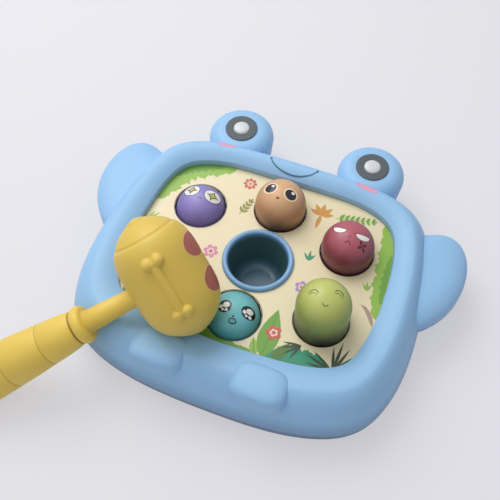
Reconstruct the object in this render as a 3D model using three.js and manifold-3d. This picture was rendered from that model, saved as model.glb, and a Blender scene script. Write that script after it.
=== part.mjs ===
// Mole pounding game: a frog-shaped board with six turning moles round a cup, and its toy hammer.
// Millimetres. The board lies flat on the table, X to the player's right, Y towards the frog's eyes, Z up.
// The origin is on the table, under the middle of the cup.
import * as THREE from 'three';
import { mergeVertices } from 'three/addons/utils/BufferGeometryUtils.js';
import Module from 'manifold-3d';

const wasm = await Module();
wasm.setup();

// Clearances that the pieces share, and how far a cutting body runs past what it cuts
const seatGap = 0.3;
const slideGap = 0.5;
const cutOver = 1;

// Heights of the board above the table
const floorRecess = 1.5;
const floorThickness = 2;
const seamLevel = 8.2;
const beltLevel = 19;
const deckLevel = 36;
const lipRise = 5.5;
const crestRise = 10;

// Puffy frame, the moulded top shell. Its side is a superellipse between a straight slope and a full round.
const shellWall = 2.4;
const frameUndercut = 1.8;
const crestShare = 0.52;
const sideFullnessShare = 1.6;
const bodyHalfWidth = 113;
const frameSideWidth = 27.6;
const frameBackWidth = 22.2;
const frameFrontWidth = 34.5;

// Half outlines from the back round one side to the front, as shares of the half width and of the reach
const bodyOutlineShares = [
  [0, 1], [0.4, 0.985], [0.7, 0.925], [0.87, 0.76], [0.94, 0.5], [0.99, 0.1],
  [1, -0.25], [0.96, -0.56], [0.85, -0.79], [0.62, -0.93], [0.31, -0.99], [0, -1],
];
const openingOutlineShares = [
  [0, 1], [0.35, 1], [0.63, 0.965], [0.84, 0.85], [0.94, 0.66], [0.995, 0.2],
  [0.998, -0.2], [0.965, -0.53], [0.88, -0.79], [0.645, -0.935], [0.32, -0.985], [0, -1],
];

// Eye bosses, with the grey ring and the white button on each
const eyeBossRadius = 23.6;
const eyeBossX = 49.4;
const eyeBossPastBack = 6.4;
const eyeBossRise = 8.5;
const eyeBossShoulder = 10;
const eyeBossRim = 22;
const eyeBossDraft = 1.2;
const eyeRingRadius = 11.8;
const eyeRingThickness = 2;
const eyeRingProud = 0.9;
const eyeButtonRadius = 5.9;
const eyeButtonProud = 1.5;
const eyeEdgeRound = 0.7;

// Hands, the flat paddles at the sides of the frame: a half-oval outline in shares of its own box
const handSunk = 27;
const handOutreach = 19;
const handBack = 67.5;
const handFront = -9;
const handRim = 24;
const handBelt = 30;
const handTop = 38.5;
const handShoulderShare = 0.326087;
const handOutlineShares = [
  [0, 0.82], [0.27, 0.94], [0.55, 1], [0.79, 0.95], [0.93, 0.83], [1, 0.64], [0.975, 0.44],
  [0.86, 0.25], [0.7, 0.11], [0.46, 0], [0.22, 0.02], [0.05, 0.3],
];

// Feet, the two raised pads on the front of the frame: rounded squares, seen from above
const footX = 32;
const footSetBack = 15.5;
const footHalfWidth = 18.5;
const footHalfDepth = 13.5;
const footLevel = 38;
const footRise = 11;
const footSquareShare = 3;

// Bottom shell: a tray whose spigot stands inside the top shell
const spigotHeight = 4;
const trayWall = 2;
const traySlope = 4.4;
const trayTurnShares = [0.4, 0.25];
const padRadius = 16;

// Deck plate, printed sheet and centre cup
const deckThickness = 2.4;
const deckFlange = 9.5;
const printThickness = 0.4;
const cupRadius = 20;
const cupWall = 2;
const cupRimRadius = 24;
const cupRimRise = 2.7;
const cupTaper = 3;
const cupFloorRound = 7;

// Moles: their places, the three heights above the deck at which they rest, and the turn between two of them
const moleRadius = 17.3;
const headClearance = 0.7;
const moleSideShare = 0.62;
const moleSideHalfGap = 9.7;
const moleCupGap = 1.7;
const moleBackMargin = 5.8;
const moleFrontMargin = 4.5;
const lowNotch = 12.4;
const notchStep = 12.5;
const turnPerStep = Math.PI / 2;
const headWall = 2;
const headWebRise = 7;
const headWeb = 1.6;
const snapUndercut = 0.6;

// Carrier under each head, the spring that lifts it and the spiral post that turns the head
const carrierOverlap = 2.5;
const carrierFlange = 1.6;
const carrierWall = 1.8;
const postHalfWidth = 3.7;
const postGap = 0.4;
const postFootRadius = 6.2;
const postFootHeight = 1.5;
const tenonHalfWidth = 3.2;
const tenonRise = 0.75;
const springWire = 1.2;
const springTurns = 4;
const springSlack = 1;

// Screws and rubber feet
const screwRadius = 1.2;
const screwPilot = 1.5;
const screwHeadRadius = 2.8;
const screwHeadHeight = 1.6;
const shellScrewLength = 12;
const deckScrewLength = 5;
const screwPostRadius = 3.4;
const wellRadius = 3.3;
const wellWall = 1.8;
const wellRoof = 2;
const rubberFootRadius = 7;
const rubberFootHeight = 2.1;
const rubberFootSideInset = 41;
const rubberFootBackInset = 37;
const rubberFootFrontInset = 34;

// Hammer, each length along its handle measured from the middle of the head
const hammerRadius = 25.2;
const hammerLength = 80;
const hammerSideShare = 4.1;
const hammerEndShare = 1.2;
const hammerWall = 2.2;
const hammerSeam = 28.4;
const capSpigot = 5;
const capSpigotWall = 1.6;
const handleShift = -1.6;
const socketRadius = 9;
const socketDepth = 12;
const neckRadius = 5.8;
const neckEndRadius = 7.3;
const collarStart = 58;
const collarLength = 8;
const collarRadius = 12.2;
const collarRound = 1.6;
const gripRadius = 11.1;
const gripEndRadius = 17.6;
const gripEnd = 150;
const gripRound = 3;
const gripEdge = 0.75;
const gripGroove = 0.8;
const gripGrooveHalf = 1.2;
const gripGroovePlaces = [88, 115];
const gripWall = 2.2;
const plugThickness = 3;
const plugCrown = 1.4;

// Bone in relief on the hammer head: its knobs in pairs at both ends of a shaft, and its turn round the head
const boneKnobRadius = 3.9;
const boneKnobSpread = 3.2;
const boneShaftRadius = 2.6;
const boneHalfLength = 17.2;
const boneMiddle = -1.7;
const boneSink = 1.2;
const boneTurn = THREE.MathUtils.degToRad(7.8);

// Where the hammer lies: its middle beside and before the pink mole, how far its head settles behind the crest
// of the frame, and where it touches the pink head, which it holds down; then its turn, dip and tilt
const hammerBesidePink = 14.548;
const hammerBeforePink = 23.3;
const hammerSettle = 22.8723;
const pinkTouchReach = 11.9;
const pinkTouchDrop = 19.6429;
const hammerTurn = THREE.MathUtils.degToRad(40.8);
const hammerDip = THREE.MathUtils.degToRad(-22.25);
const hammerTilt = THREE.MathUtils.degToRad(42);

// Facet counts
const outlinePoints = 44;
const shellSegments = 20;
const moleSegments = 18;
const carrierSegments = 12;
const holeSegments = 16;
const eyeSegments = 18;
const handleSegments = 14;
const handSegments = 16;
const footSegments = 14;
const smallSegments = 12;
const screwSegments = 6;
const outerRoundSteps = 3;
const hollowRoundSteps = 2;
const domeSteps = 4;
const twistSteps = 12;
const nutSteps = 4;
const turnSteps = 8;
const wireSides = 4;
const headOutsideSteps = 8;
const headInsideSteps = 4;
const capOutsideSteps = 4;
const capInsideSteps = 3;
const boneSegments = 10;
const boneSteps = 6;

// Sizes, heights and radii worked out from the sizes above
const holeRadius = moleRadius + headClearance;
const carrierRadius = holeRadius + carrierOverlap;
const moleSideY = moleRadius + moleSideHalfGap;
const moleMiddleY = cupRimRadius + moleCupGap + moleRadius;
const openingBack = moleMiddleY + holeRadius + moleBackMargin;
const openingFront = moleMiddleY + holeRadius + moleFrontMargin;
const openingHalfWidth = bodyHalfWidth - frameSideWidth;
const bodyBack = openingBack + frameBackWidth;
const bodyFront = openingFront + frameFrontWidth;
const moleSideX = openingHalfWidth * moleSideShare;
const eyeBossY = bodyBack + eyeBossPastBack;
const footY = footSetBack - bodyFront;
const handInner = bodyHalfWidth - handSunk;
const handReach = bodyHalfWidth + handOutreach;
const handShoulder = (handReach - handInner) * handShoulderShare;
const printBase = deckLevel - printThickness;
const deckUnder = printBase - deckThickness;
const floorLevel = floorRecess + floorThickness;
const frameEdge = seamLevel + seatGap;
const lipLevel = deckLevel + lipRise;
const crestLevel = deckLevel + crestRise;
const eyeBossTop = deckLevel + eyeBossRise;
const eyeSeat = eyeBossTop + eyeRingProud - eyeRingThickness;
const cupBore = cupRadius + cupWall + seatGap;
const middleNotch = lowNotch + notchStep;
const highNotch = middleNotch + notchStep;
const hammerX = hammerBesidePink - moleSideX;
const hammerY = -moleSideY - hammerBeforePink;
const hammerEndDrop = (hammerLength / 2) * Math.sin(hammerTilt) * Math.cos(hammerDip);
const hammerRise = crestRise + hammerRadius + hammerEndDrop - hammerSettle;
const pinkTouchFall = moleRadius - Math.sqrt(moleRadius ** 2 - pinkTouchReach ** 2);
const pinkRest = hammerRise - pinkTouchDrop + pinkTouchFall;
const headSkirt = deckLevel + highNotch - moleRadius - deckUnder;
const headBore = moleRadius - headWall;
const sleeveTopRadius = headBore - slideGap;
const sleeveRadius = sleeveTopRadius - snapUndercut;
const postCorner = postHalfWidth * Math.SQRT2;
const postTop = deckUnder + headWebRise + headWeb;
const springRadius = postFootRadius + springSlack + springWire / 2;

const plastic = (color, roughness) => new THREE.MeshStandardMaterial({ color, roughness, metalness: 0 });
const frameBlue = plastic(0x8fbce8, 0.35);
const trayBlue = plastic(0x6f9ccc, 0.5);
const plateCream = plastic(0xd9d2b0, 0.6);
const printCream = plastic(0xe9dfae, 0.6);
const cupBlue = plastic(0x7fb0e6, 0.3);
const ringGrey = plastic(0x5f6464, 0.5);
const buttonWhite = plastic(0xf2f2f2, 0.3);
const carrierWhite = plastic(0xdfe3e6, 0.5);
const postWhite = plastic(0xe6e3da, 0.45);
const hammerYellow = plastic(0xe3bd55, 0.45);
const rubberGrey = plastic(0x3a3d40, 0.9);
const steel = new THREE.MeshStandardMaterial({ color: 0xb9bdc2, roughness: 0.3, metalness: 1 });

const moles = [
  { name: 'purple', x: -moleSideX, y: moleSideY, notch: lowNotch, color: 0x8878c8 },
  { name: 'orange', x: 0, y: moleMiddleY, notch: middleNotch, color: 0xd69a68 },
  { name: 'red', x: moleSideX, y: moleSideY, notch: middleNotch, color: 0xb0505c },
  { name: 'pink', x: -moleSideX, y: -moleSideY, notch: pinkRest, color: 0xe7a9b4 },
  { name: 'teal', x: 0, y: -moleMiddleY, notch: lowNotch, color: 0x66bcc4 },
  { name: 'green', x: moleSideX, y: -moleSideY, notch: highNotch, color: 0xb0c060 },
];

// Solid from a closed geometry: equal vertices merged, empty triangles dropped and faces turned outwards.
function solid(geometry) {
  const bare = geometry.clone();
  bare.deleteAttribute('normal');
  bare.deleteAttribute('uv');
  const merged = mergeVertices(bare);
  const place = merged.attributes.position;
  const corners = merged.index.array;
  const corner = [new THREE.Vector3(), new THREE.Vector3(), new THREE.Vector3()];
  const triangles = [];
  let volume = 0;
  for (let i = 0; i < corners.length; i += 3) {
    const triangle = [corners[i], corners[i + 1], corners[i + 2]];
    if (new Set(triangle).size < 3) continue;
    triangles.push(triangle);
    triangle.forEach((vertex, side) => corner[side].fromBufferAttribute(place, vertex));
    volume += corner[0].dot(corner[1].cross(corner[2]));
  }
  const facingOut = volume > 0 ? triangles : triangles.map(([a, b, c]) => [a, c, b]);
  return new wasm.Manifold(new wasm.Mesh({
    numProp: 3,
    vertProperties: Float32Array.from(place.array),
    triVerts: Uint32Array.from(facingOut.flat()),
  }));
}

function joined(...solids) {
  return solids.reduce((sum, one) => sum.add(one));
}

function cut(body, ...tools) {
  return tools.reduce((rest, tool) => rest.subtract(tool), body);
}

function piece(name, body, material) {
  const { vertProperties, triVerts } = body.getMesh();
  const geometry = new THREE.BufferGeometry();
  geometry.setAttribute('position', new THREE.BufferAttribute(vertProperties, 3));
  geometry.setIndex(new THREE.BufferAttribute(triVerts, 1));
  geometry.computeVertexNormals();
  const mesh = new THREE.Mesh(geometry, material);
  mesh.name = name;
  return mesh;
}

// Body turned about an upright axis from [radius, height] points that start and end on it.
function turned(profile, segments, x = 0, y = 0) {
  const points = profile.map(([radius, height]) => new THREE.Vector2(radius, height));
  return solid(new THREE.LatheGeometry(points, segments).rotateX(Math.PI / 2).translate(x, y, 0));
}

function turnedRing(profile, segments) {
  return turned([...profile, profile[0]], segments);
}

function bar(radius, low, high, segments, [x, y] = [0, 0]) {
  return turned([[0, low], [radius, low], [radius, high], [0, high]], segments, x, y);
}

// Quarter round from an upright wall to a flat top, as [inset, drop] pairs from the outer corner.
function quarterRound(radius, steps) {
  return Array.from({ length: steps + 1 }, (unused, step) => {
    const angle = (step / steps) * (Math.PI / 2);
    return [radius * (1 - Math.cos(angle)), radius * (1 - Math.sin(angle))];
  });
}

// Skin over rings of equal length, each an array of [x, y, z] points, with caps as triangles of a ring.
function skinned(rings, firstCap, lastCap) {
  const count = rings[0].length;
  const index = [];
  for (let level = 0; level < rings.length - 1; level += 1) {
    for (let i = 0; i < count; i += 1) {
      const a = level * count + i;
      const b = level * count + ((i + 1) % count);
      index.push(a, b, b + count, a, b + count, a + count);
    }
  }
  const last = (rings.length - 1) * count;
  firstCap.forEach(([a, b, c]) => index.push(c, b, a));
  lastCap.forEach(([a, b, c]) => index.push(last + a, last + b, last + c));
  const geometry = new THREE.BufferGeometry();
  geometry.setAttribute('position', new THREE.Float32BufferAttribute(rings.flat(2), 3));
  geometry.setIndex(index);
  return solid(geometry);
}

function loft(rings) {
  const cap = (ring) => THREE.ShapeUtils.triangulateShape(ring.map(([x, y]) => new THREE.Vector2(x, y)), []);
  return skinned(rings, cap(rings[0]), cap(rings[rings.length - 1]));
}

function smoothOutline(points, count) {
  const curve = new THREE.CatmullRomCurve3(points.map(([x, y]) => new THREE.Vector3(x, y, 0)), true);
  return Array.from({ length: count }, (unused, i) => {
    const point = curve.getPoint(i / count);
    return [point.x, point.y];
  });
}

// Counterclockwise outline of a mirrored half, its first point in the middle of the back.
function mirroredOutline(shares, halfWidth, back, front) {
  const half = shares.map(([x, y]) => [-x * halfWidth, y > 0 ? y * back : y * front]);
  const other = half.slice(1, -1).reverse().map(([x, y]) => [-x, y]);
  return smoothOutline([...half, ...other], outlinePoints);
}

// Outline moved inwards by a distance, or outwards by a negative one.
function inset(outline, distance) {
  const count = outline.length;
  return outline.map(([x, y], i) => {
    const before = outline[(i + count - 1) % count];
    const after = outline[(i + 1) % count];
    const along = new THREE.Vector2(after[0] - before[0], after[1] - before[1]).normalize();
    return [x - along.y * distance, y + along.x * distance];
  });
}

function between(first, second, share) {
  return first.map(([x, y], i) => [x + (second[i][0] - x) * share, y + (second[i][1] - y) * share]);
}

const at = (outline, level) => outline.map(([x, y]) => [x, y, level]);
const prism = (outline, low, high) => loft([at(outline, low), at(outline, high)]);

const bodyOutline = mirroredOutline(bodyOutlineShares, bodyHalfWidth, bodyBack, bodyFront);
const openingOutline = mirroredOutline(openingOutlineShares, openingHalfWidth, openingBack, openingFront);
const sideOutline = inset(bodyOutline, frameUndercut);

// Places on both sides of an outline, each at a share of the way from the back to the front.
function mirroredPlaces(outline, shares) {
  const last = outline.length;
  return shares.flatMap((share) => {
    const spot = Math.round((share * last) / 2);
    return [outline[spot], outline[last - spot]];
  });
}

const shellScrewShares = [0.2, 0.5, 0.8];
const shellScrewAcrossShare = 0.52;
const shellScrewLine = between(bodyOutline, openingOutline, shellScrewAcrossShare);
const shellScrews = mirroredPlaces(shellScrewLine, shellScrewShares);
const deckScrewShares = [0.27, 0.75];
const deckScrews = mirroredPlaces(inset(openingOutline, -(shellWall + screwPostRadius)), deckScrewShares);
const rubberFootX = bodyHalfWidth - rubberFootSideInset;
const rubberFeet = [-1, 1].flatMap((side) => [
  [side * rubberFootX, bodyBack - rubberFootBackInset],
  [side * rubberFootX, rubberFootFrontInset - bodyFront],
]);

// Frame filled down to its edge, the outline of its outer wall and of its lip moved in by a wall.
function frameBody(wall, edge, sideSteps, lipSteps) {
  const outer = inset(bodyOutline, wall);
  const inner = inset(openingOutline, -wall);
  const rings = [at(inset(outer, frameUndercut), edge)];
  for (let step = 0; step < sideSteps; step += 1) {
    const angle = (step / sideSteps) * (Math.PI / 2);
    const share = crestShare * (1 - Math.cos(angle) ** (2 / sideFullnessShare));
    const climb = Math.sin(angle) ** (2 / sideFullnessShare);
    rings.push(at(between(outer, inner, share), beltLevel + (crestLevel - wall - beltLevel) * climb));
  }
  for (let step = 0; step <= lipSteps; step += 1) {
    const across = step / lipSteps;
    const level = crestLevel - wall - (crestLevel - lipLevel) * across ** 2;
    rings.push(at(between(outer, inner, crestShare + (1 - crestShare) * across), level));
  }
  return loft(rings);
}

const roundStepsOf = (wall) => (wall > 0 ? hollowRoundSteps : outerRoundSteps);

function eyeBoss(side, wall) {
  const top = wall > 0 ? eyeSeat - wall : eyeBossTop;
  const low = wall > 0 ? eyeBossRim - cutOver : eyeBossRim;
  const radius = eyeBossRadius - wall;
  const shoulder = quarterRound(eyeBossShoulder - wall, roundStepsOf(wall));
  const profile = [[0, low], [radius - eyeBossDraft, low]];
  shoulder.forEach(([across, drop]) => profile.push([radius - across, top - drop]));
  profile.push([0, top]);
  return turned(profile, shellSegments, side * eyeBossX, eyeBossY);
}

// Hand outline drawn in from its box by a distance at its four extremes.
function handOutline(side, distance) {
  const shares = smoothOutline(handOutlineShares, handSegments);
  const outline = shares.map(([x, y]) => {
    const across = handInner + distance + x * (handReach - handInner - 2 * distance);
    const along = handFront + distance + y * (handBack - handFront - 2 * distance);
    return [side * across, along];
  });
  return side > 0 ? outline.reverse() : outline;
}

function hand(side, wall) {
  const low = wall > 0 ? handRim - cutOver : handRim;
  const rings = [at(handOutline(side, wall), low)];
  const steps = roundStepsOf(wall);
  for (let step = 0; step <= steps; step += 1) {
    const angle = (step / steps) * (Math.PI / 2);
    const level = handBelt + (handTop - wall - handBelt) * Math.sin(angle);
    rings.push(at(handOutline(side, wall + handShoulder * (1 - Math.cos(angle))), level));
  }
  return loft(rings);
}

// Foot: a ball drawn out towards the corners of a square, then scaled to its three sizes.
function foot(side) {
  const ball = new THREE.SphereGeometry(1, footSegments, footSegments / 2).rotateX(Math.PI / 2);
  const place = ball.attributes.position;
  for (let i = 0; i < place.count; i += 1) {
    const [x, y] = [place.getX(i), place.getY(i)];
    const reach = (Math.abs(x) ** footSquareShare + Math.abs(y) ** footSquareShare) ** (1 / footSquareShare);
    const drawn = reach > 0 ? Math.hypot(x, y) / reach : 1;
    place.setXY(i, x * drawn, y * drawn);
  }
  return solid(ball.scale(footHalfWidth, footHalfDepth, footRise).translate(side * footX, footY, footLevel));
}

// Top shell: one moulding with the frame, both eye bosses, hands and feet, open below and over the deck.
function topShell() {
  const frame = frameBody(0, frameEdge, outerRoundSteps + 1, outerRoundSteps);
  const frameHollow = frameBody(shellWall, frameEdge - cutOver, hollowRoundSteps + 1, hollowRoundSteps);
  const lobes = [-1, 1].flatMap((side) => [eyeBoss(side, 0), hand(side, 0), foot(side)]);
  const lobeHollow = joined(...[-1, 1].flatMap((side) => [eyeBoss(side, shellWall), hand(side, shellWall)]));
  const bodyColumn = prism(bodyOutline, 0, crestLevel + cutOver);
  const innerColumn = prism(inset(bodyOutline, shellWall), 0, crestLevel + cutOver);
  const rim = prism(inset(openingOutline, -shellWall), printBase, crestLevel);
  const opening = prism(openingOutline, floorRecess, crestLevel + cutOver);
  const below = prism(bodyOutline, floorRecess, frameEdge);
  const hollow = cut(joined(frameHollow, lobeHollow.intersect(innerColumn)), rim);
  const outerHollow = cut(lobeHollow, bodyColumn);
  let shell = cut(joined(frame, ...lobes), hollow, outerHollow, opening, below);
  for (const place of shellScrews) {
    shell = shell.add(bar(screwPostRadius, frameEdge, crestLevel - shellWall, screwSegments, place));
    shell = cut(shell, bar(screwPilot, floorRecess, frameEdge + shellScrewLength, screwSegments, place));
  }
  for (const place of deckScrews) {
    shell = shell.add(bar(screwPostRadius, printBase, lipLevel, screwSegments, place));
    shell = cut(shell, bar(screwPilot, deckUnder, printBase + deckScrewLength, screwSegments, place));
  }
  for (const side of [-1, 1]) {
    const place = [side * eyeBossX, eyeBossY];
    shell = cut(shell, bar(eyeRingRadius + seatGap, eyeSeat, crestLevel + cutOver, eyeSegments, place));
  }
  return piece('top_shell', shell, frameBlue);
}

function eyes() {
  const top = eyeSeat + eyeRingThickness;
  const bore = eyeButtonRadius + seatGap;
  const ring = [[bore, eyeSeat], [eyeRingRadius, eyeSeat], [eyeRingRadius, top - eyeEdgeRound],
    [eyeRingRadius - eyeEdgeRound, top], [bore, top]];
  const crown = top + eyeButtonProud;
  const button = [[0, eyeSeat], [eyeButtonRadius, eyeSeat], [eyeButtonRadius, crown - 2 * eyeEdgeRound],
    [eyeButtonRadius - eyeEdgeRound, crown - eyeEdgeRound], [eyeButtonRadius / 2, crown], [0, crown]];
  return [['left', -1], ['right', 1]].flatMap(([label, side]) => {
    const meshes = [
      piece(`eye_ring_${label}`, turnedRing(ring, eyeSegments), ringGrey),
      piece(`eye_button_${label}`, turned(button, smallSegments), buttonWhite),
    ];
    meshes.forEach((mesh) => mesh.position.set(side * eyeBossX, eyeBossY, 0));
    return meshes;
  });
}

// Bottom shell: tray with a resting pad, screw wells, seats for the rubber feet and sockets for the posts.
function bottomShell() {
  const edge = inset(sideOutline, seatGap);
  const spigot = inset(sideOutline, shellWall + slideGap);
  const [turnInShare, turnUpShare] = trayTurnShares;
  const dish = loft([
    at(inset(edge, traySlope), floorRecess),
    at(inset(edge, traySlope * turnInShare), floorRecess + (seamLevel - floorRecess) * turnUpShare),
    at(edge, seamLevel),
  ]);
  const rimTop = seamLevel + spigotHeight;
  const hollow = prism(inset(spigot, trayWall), floorLevel, rimTop + cutOver);
  let tray = cut(joined(dish, prism(spigot, floorLevel, rimTop)), hollow);
  for (const place of shellScrews) {
    tray = tray.add(bar(wellRadius + wellWall, floorRecess, seamLevel, smallSegments, place));
    tray = cut(
      tray,
      bar(wellRadius, 0, seamLevel - wellRoof, smallSegments, place),
      bar(screwPilot, 0, rimTop, screwSegments, place),
    );
  }
  for (const place of rubberFeet) {
    tray = cut(tray, bar(rubberFootRadius + seatGap, 0, rubberFootHeight, smallSegments, place));
  }
  tray = tray.add(bar(padRadius, 0, floorLevel, shellSegments));
  for (const { x, y } of moles) {
    const socket = tenonHalfWidth + seatGap;
    tray = cut(tray, squareBar(socket, 0, floorLevel + cutOver, 1, 0, x, y));
  }
  return piece('bottom_shell', tray, trayBlue);
}

// Square bar whose section turns with its height, by a rate in radians per millimetre.
function squareBar(halfWidth, low, high, steps, rate, x = 0, y = 0) {
  const rings = Array.from({ length: steps + 1 }, (unused, step) => {
    const level = low + ((high - low) * step) / steps;
    return [0, 1, 2, 3].map((corner) => {
      const angle = Math.PI / 4 + (corner * Math.PI) / 2 + rate * level;
      const reach = halfWidth * Math.SQRT2;
      return [x + reach * Math.cos(angle), y + reach * Math.sin(angle), level];
    });
  });
  return loft(rings);
}

function rubberFeetPieces() {
  return rubberFeet.map(([x, y], i) => {
    const pad = bar(rubberFootRadius, 0, rubberFootHeight, smallSegments);
    const mesh = piece(`rubber_foot_${i + 1}`, pad, rubberGrey);
    mesh.position.set(x, y, 0);
    return mesh;
  });
}

function deckHoles(low, high) {
  const moleHoles = moles.map(({ x, y }) => bar(holeRadius, low, high, holeSegments, [x, y]));
  return joined(...moleHoles, bar(cupBore, low, high, shellSegments));
}

// Deck plate, notched round the posts of the shell screws, and the printed sheet that lies on it.
function deckPieces() {
  const plate = prism(inset(openingOutline, -deckFlange), deckUnder, printBase);
  const notchRadius = screwPostRadius + seatGap;
  const screwHoles = deckScrews.map((place) => bar(screwPilot, floorLevel, deckLevel, screwSegments, place));
  const postNotches = shellScrews.map((place) => {
    return bar(notchRadius, floorLevel, deckLevel, screwSegments, place);
  });
  const sheet = prism(inset(openingOutline, seatGap), printBase, deckLevel);
  const bored = cut(plate, deckHoles(floorLevel, deckLevel), ...screwHoles, ...postNotches);
  return [
    piece('deck_plate', bored, plateCream),
    piece('deck_print', cut(sheet, deckHoles(floorLevel, crestLevel)), printCream),
  ];
}

// Cup with a rolled rim that rests on the deck, a tapered wall and a rounded floor.
function centreCup() {
  const floorTop = floorLevel + seatGap + cupWall;
  const lowRadius = cupRadius - cupTaper;
  const rimTop = deckLevel + cupRimRise;
  const rimTurn = cupRimRise / 2;
  const floorRound = quarterRound(cupFloorRound, outerRoundSteps).reverse();
  const profile = [
    [0, floorTop],
    ...floorRound.map(([across, drop]) => [lowRadius - across, floorTop + drop]),
    [cupRadius, rimTop - rimTurn],
    [cupRadius + rimTurn / 2, rimTop],
    [cupRimRadius - rimTurn / 2, rimTop],
    [cupRimRadius, rimTop - rimTurn],
    [cupRimRadius, deckLevel],
    [cupRadius + cupWall, deckLevel],
    [lowRadius + cupWall, floorTop + cupFloorRound],
    [lowRadius, floorTop - cupWall],
    [0, floorTop - cupWall],
  ];
  return piece('centre_cup', turned(profile, shellSegments), cupBlue);
}

// Rate at which the spiral post's section turns with height
const twistRate = turnPerStep / notchStep;

// Mole head: hollow dome on a skirt, with a web inside whose square nut rides the spiral post.
function moleHead({ name, notch, color }) {
  const base = deckLevel + notch - moleRadius - headSkirt;
  const equator = base + headSkirt;
  const web = base + headWebRise;
  const dome = (radius, steps) => quarterRound(radius, steps).map(([across, drop]) => [
    radius - across, equator + radius - drop,
  ]);
  const webTop = web + headWeb;
  const baseBore = headBore - snapUndercut;
  const lowerProfile = [
    [0, base - cutOver], [baseBore, base - cutOver], [baseBore, base], [headBore, web], [0, web],
  ];
  const outside = turned([[0, base], [moleRadius, base], ...dome(moleRadius, domeSteps)], moleSegments);
  const lower = turned(lowerProfile, moleSegments);
  const upper = turned([[0, webTop], [headBore, webTop], ...dome(headBore, hollowRoundSteps)], moleSegments);
  const nut = squareBar(postHalfWidth + postGap, web - cutOver, webTop + cutOver, nutSteps, twistRate);
  return piece(`mole_${name}_head`, cut(outside, lower, upper, nut), plastic(color, 0.3));
}

function carrierLevels(notch) {
  const flangeTop = deckLevel + notch - moleRadius - headSkirt - seatGap;
  return { flangeTop, crownTop: flangeTop + headWebRise };
}

// Carrier: a flange that stops under the deck, and a sleeve with a crown on which the head is snapped.
function moleCarrier({ name, notch }) {
  const { flangeTop, crownTop } = carrierLevels(notch);
  const sleeveBore = sleeveRadius - carrierWall;
  const crownBore = postCorner + slideGap;
  const profile = [
    [sleeveBore, flangeTop - carrierFlange], [carrierRadius, flangeTop - carrierFlange],
    [carrierRadius, flangeTop], [sleeveRadius, flangeTop], [sleeveTopRadius, crownTop], [crownBore, crownTop],
    [crownBore, crownTop - carrierWall], [sleeveBore, crownTop - carrierWall],
  ];
  return piece(`mole_${name}_carrier`, turnedRing(profile, carrierSegments), carrierWhite);
}

function moleSpring({ name, notch }) {
  const low = floorLevel + seatGap + springWire / 2;
  const high = carrierLevels(notch).crownTop - carrierWall - seatGap - springWire / 2;
  const steps = springTurns * turnSteps;
  const rings = Array.from({ length: steps + 1 }, (unused, step) => {
    const angle = (step / steps) * springTurns * 2 * Math.PI;
    const level = low + ((high - low) * step) / steps;
    return Array.from({ length: wireSides }, (empty, side) => {
      const around = (side / wireSides) * 2 * Math.PI;
      const reach = springRadius + (springWire / 2) * Math.cos(around);
      return [reach * Math.cos(angle), reach * Math.sin(angle), level + (springWire / 2) * Math.sin(around)];
    });
  });
  const cap = [[0, 1, 2], [0, 2, 3]];
  return piece(`mole_${name}_spring`, skinned(rings, cap, cap), steel);
}

// Spiral post: a square bar that turns a quarter for each notch, on a foot whose tenon sits in the floor.
function spiralPost({ name }) {
  const tenonTop = floorLevel + tenonRise;
  const post = joined(
    bar(postFootRadius, floorLevel, floorLevel + postFootHeight, smallSegments),
    squareBar(postHalfWidth, tenonTop, postTop, twistSteps, twistRate),
    squareBar(tenonHalfWidth, floorRecess + seatGap, tenonTop, 1, 0),
  );
  return piece(`mole_${name}_post`, post, postWhite);
}

function moleGroups() {
  return moles.map((mole) => {
    const group = new THREE.Group();
    group.add(moleHead(mole), moleCarrier(mole), moleSpring(mole), spiralPost(mole));
    group.position.set(mole.x, mole.y, 0);
    return group;
  });
}

function screw(name, [x, y], headBase, length) {
  const seat = headBase + screwHeadHeight;
  const profile = [[0, headBase], [screwHeadRadius, headBase], [screwHeadRadius, seat], [screwRadius, seat],
    [screwRadius, seat + length], [0, seat + length]];
  const mesh = piece(name, turned(profile, screwSegments), steel);
  mesh.position.set(x, y, 0);
  return mesh;
}

function screws() {
  const shellBase = seamLevel - wellRoof - screwHeadHeight;
  const deckBase = deckUnder - screwHeadHeight;
  const deckThread = deckThickness + deckScrewLength - seatGap;
  return [
    ...shellScrews.map((place, i) => screw(`shell_screw_${i + 1}`, place, shellBase, shellScrewLength)),
    ...deckScrews.map((place, i) => screw(`deck_screw_${i + 1}`, place, deckBase, deckThread)),
  ];
}

// Radius of the hammer head at a place along its axis: a superellipse, full in the middle, with domed ends.
function hammerRadiusAt(along) {
  const share = Math.min(Math.abs((2 * along) / hammerLength), 1);
  return hammerRadius * (1 - share ** hammerSideShare) ** (1 / hammerEndShare);
}

// Points of the head's outline between two places, closer together towards the ends, drawn in by a wall.
function hammerOutline(from, to, steps, wall) {
  const half = hammerLength / 2;
  const start = Math.asin(from / half);
  const end = Math.asin(to / half);
  return Array.from({ length: steps + 1 }, (unused, step) => {
    const along = half * Math.sin(start + ((end - start) * step) / steps);
    return [Math.max(hammerRadiusAt(along) - wall, 0), along * (1 - wall / half)];
  });
}

function spunAlongY(profile, segments) {
  const points = profile.map(([radius, along]) => new THREE.Vector2(radius, along));
  return solid(new THREE.LatheGeometry(points, segments));
}

function spunAlongHandle(profile, segments) {
  const points = profile.map(([radius, along]) => new THREE.Vector2(radius, along));
  return solid(new THREE.LatheGeometry(points, segments).rotateZ(Math.PI / 2).translate(0, handleShift, 0));
}

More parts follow.
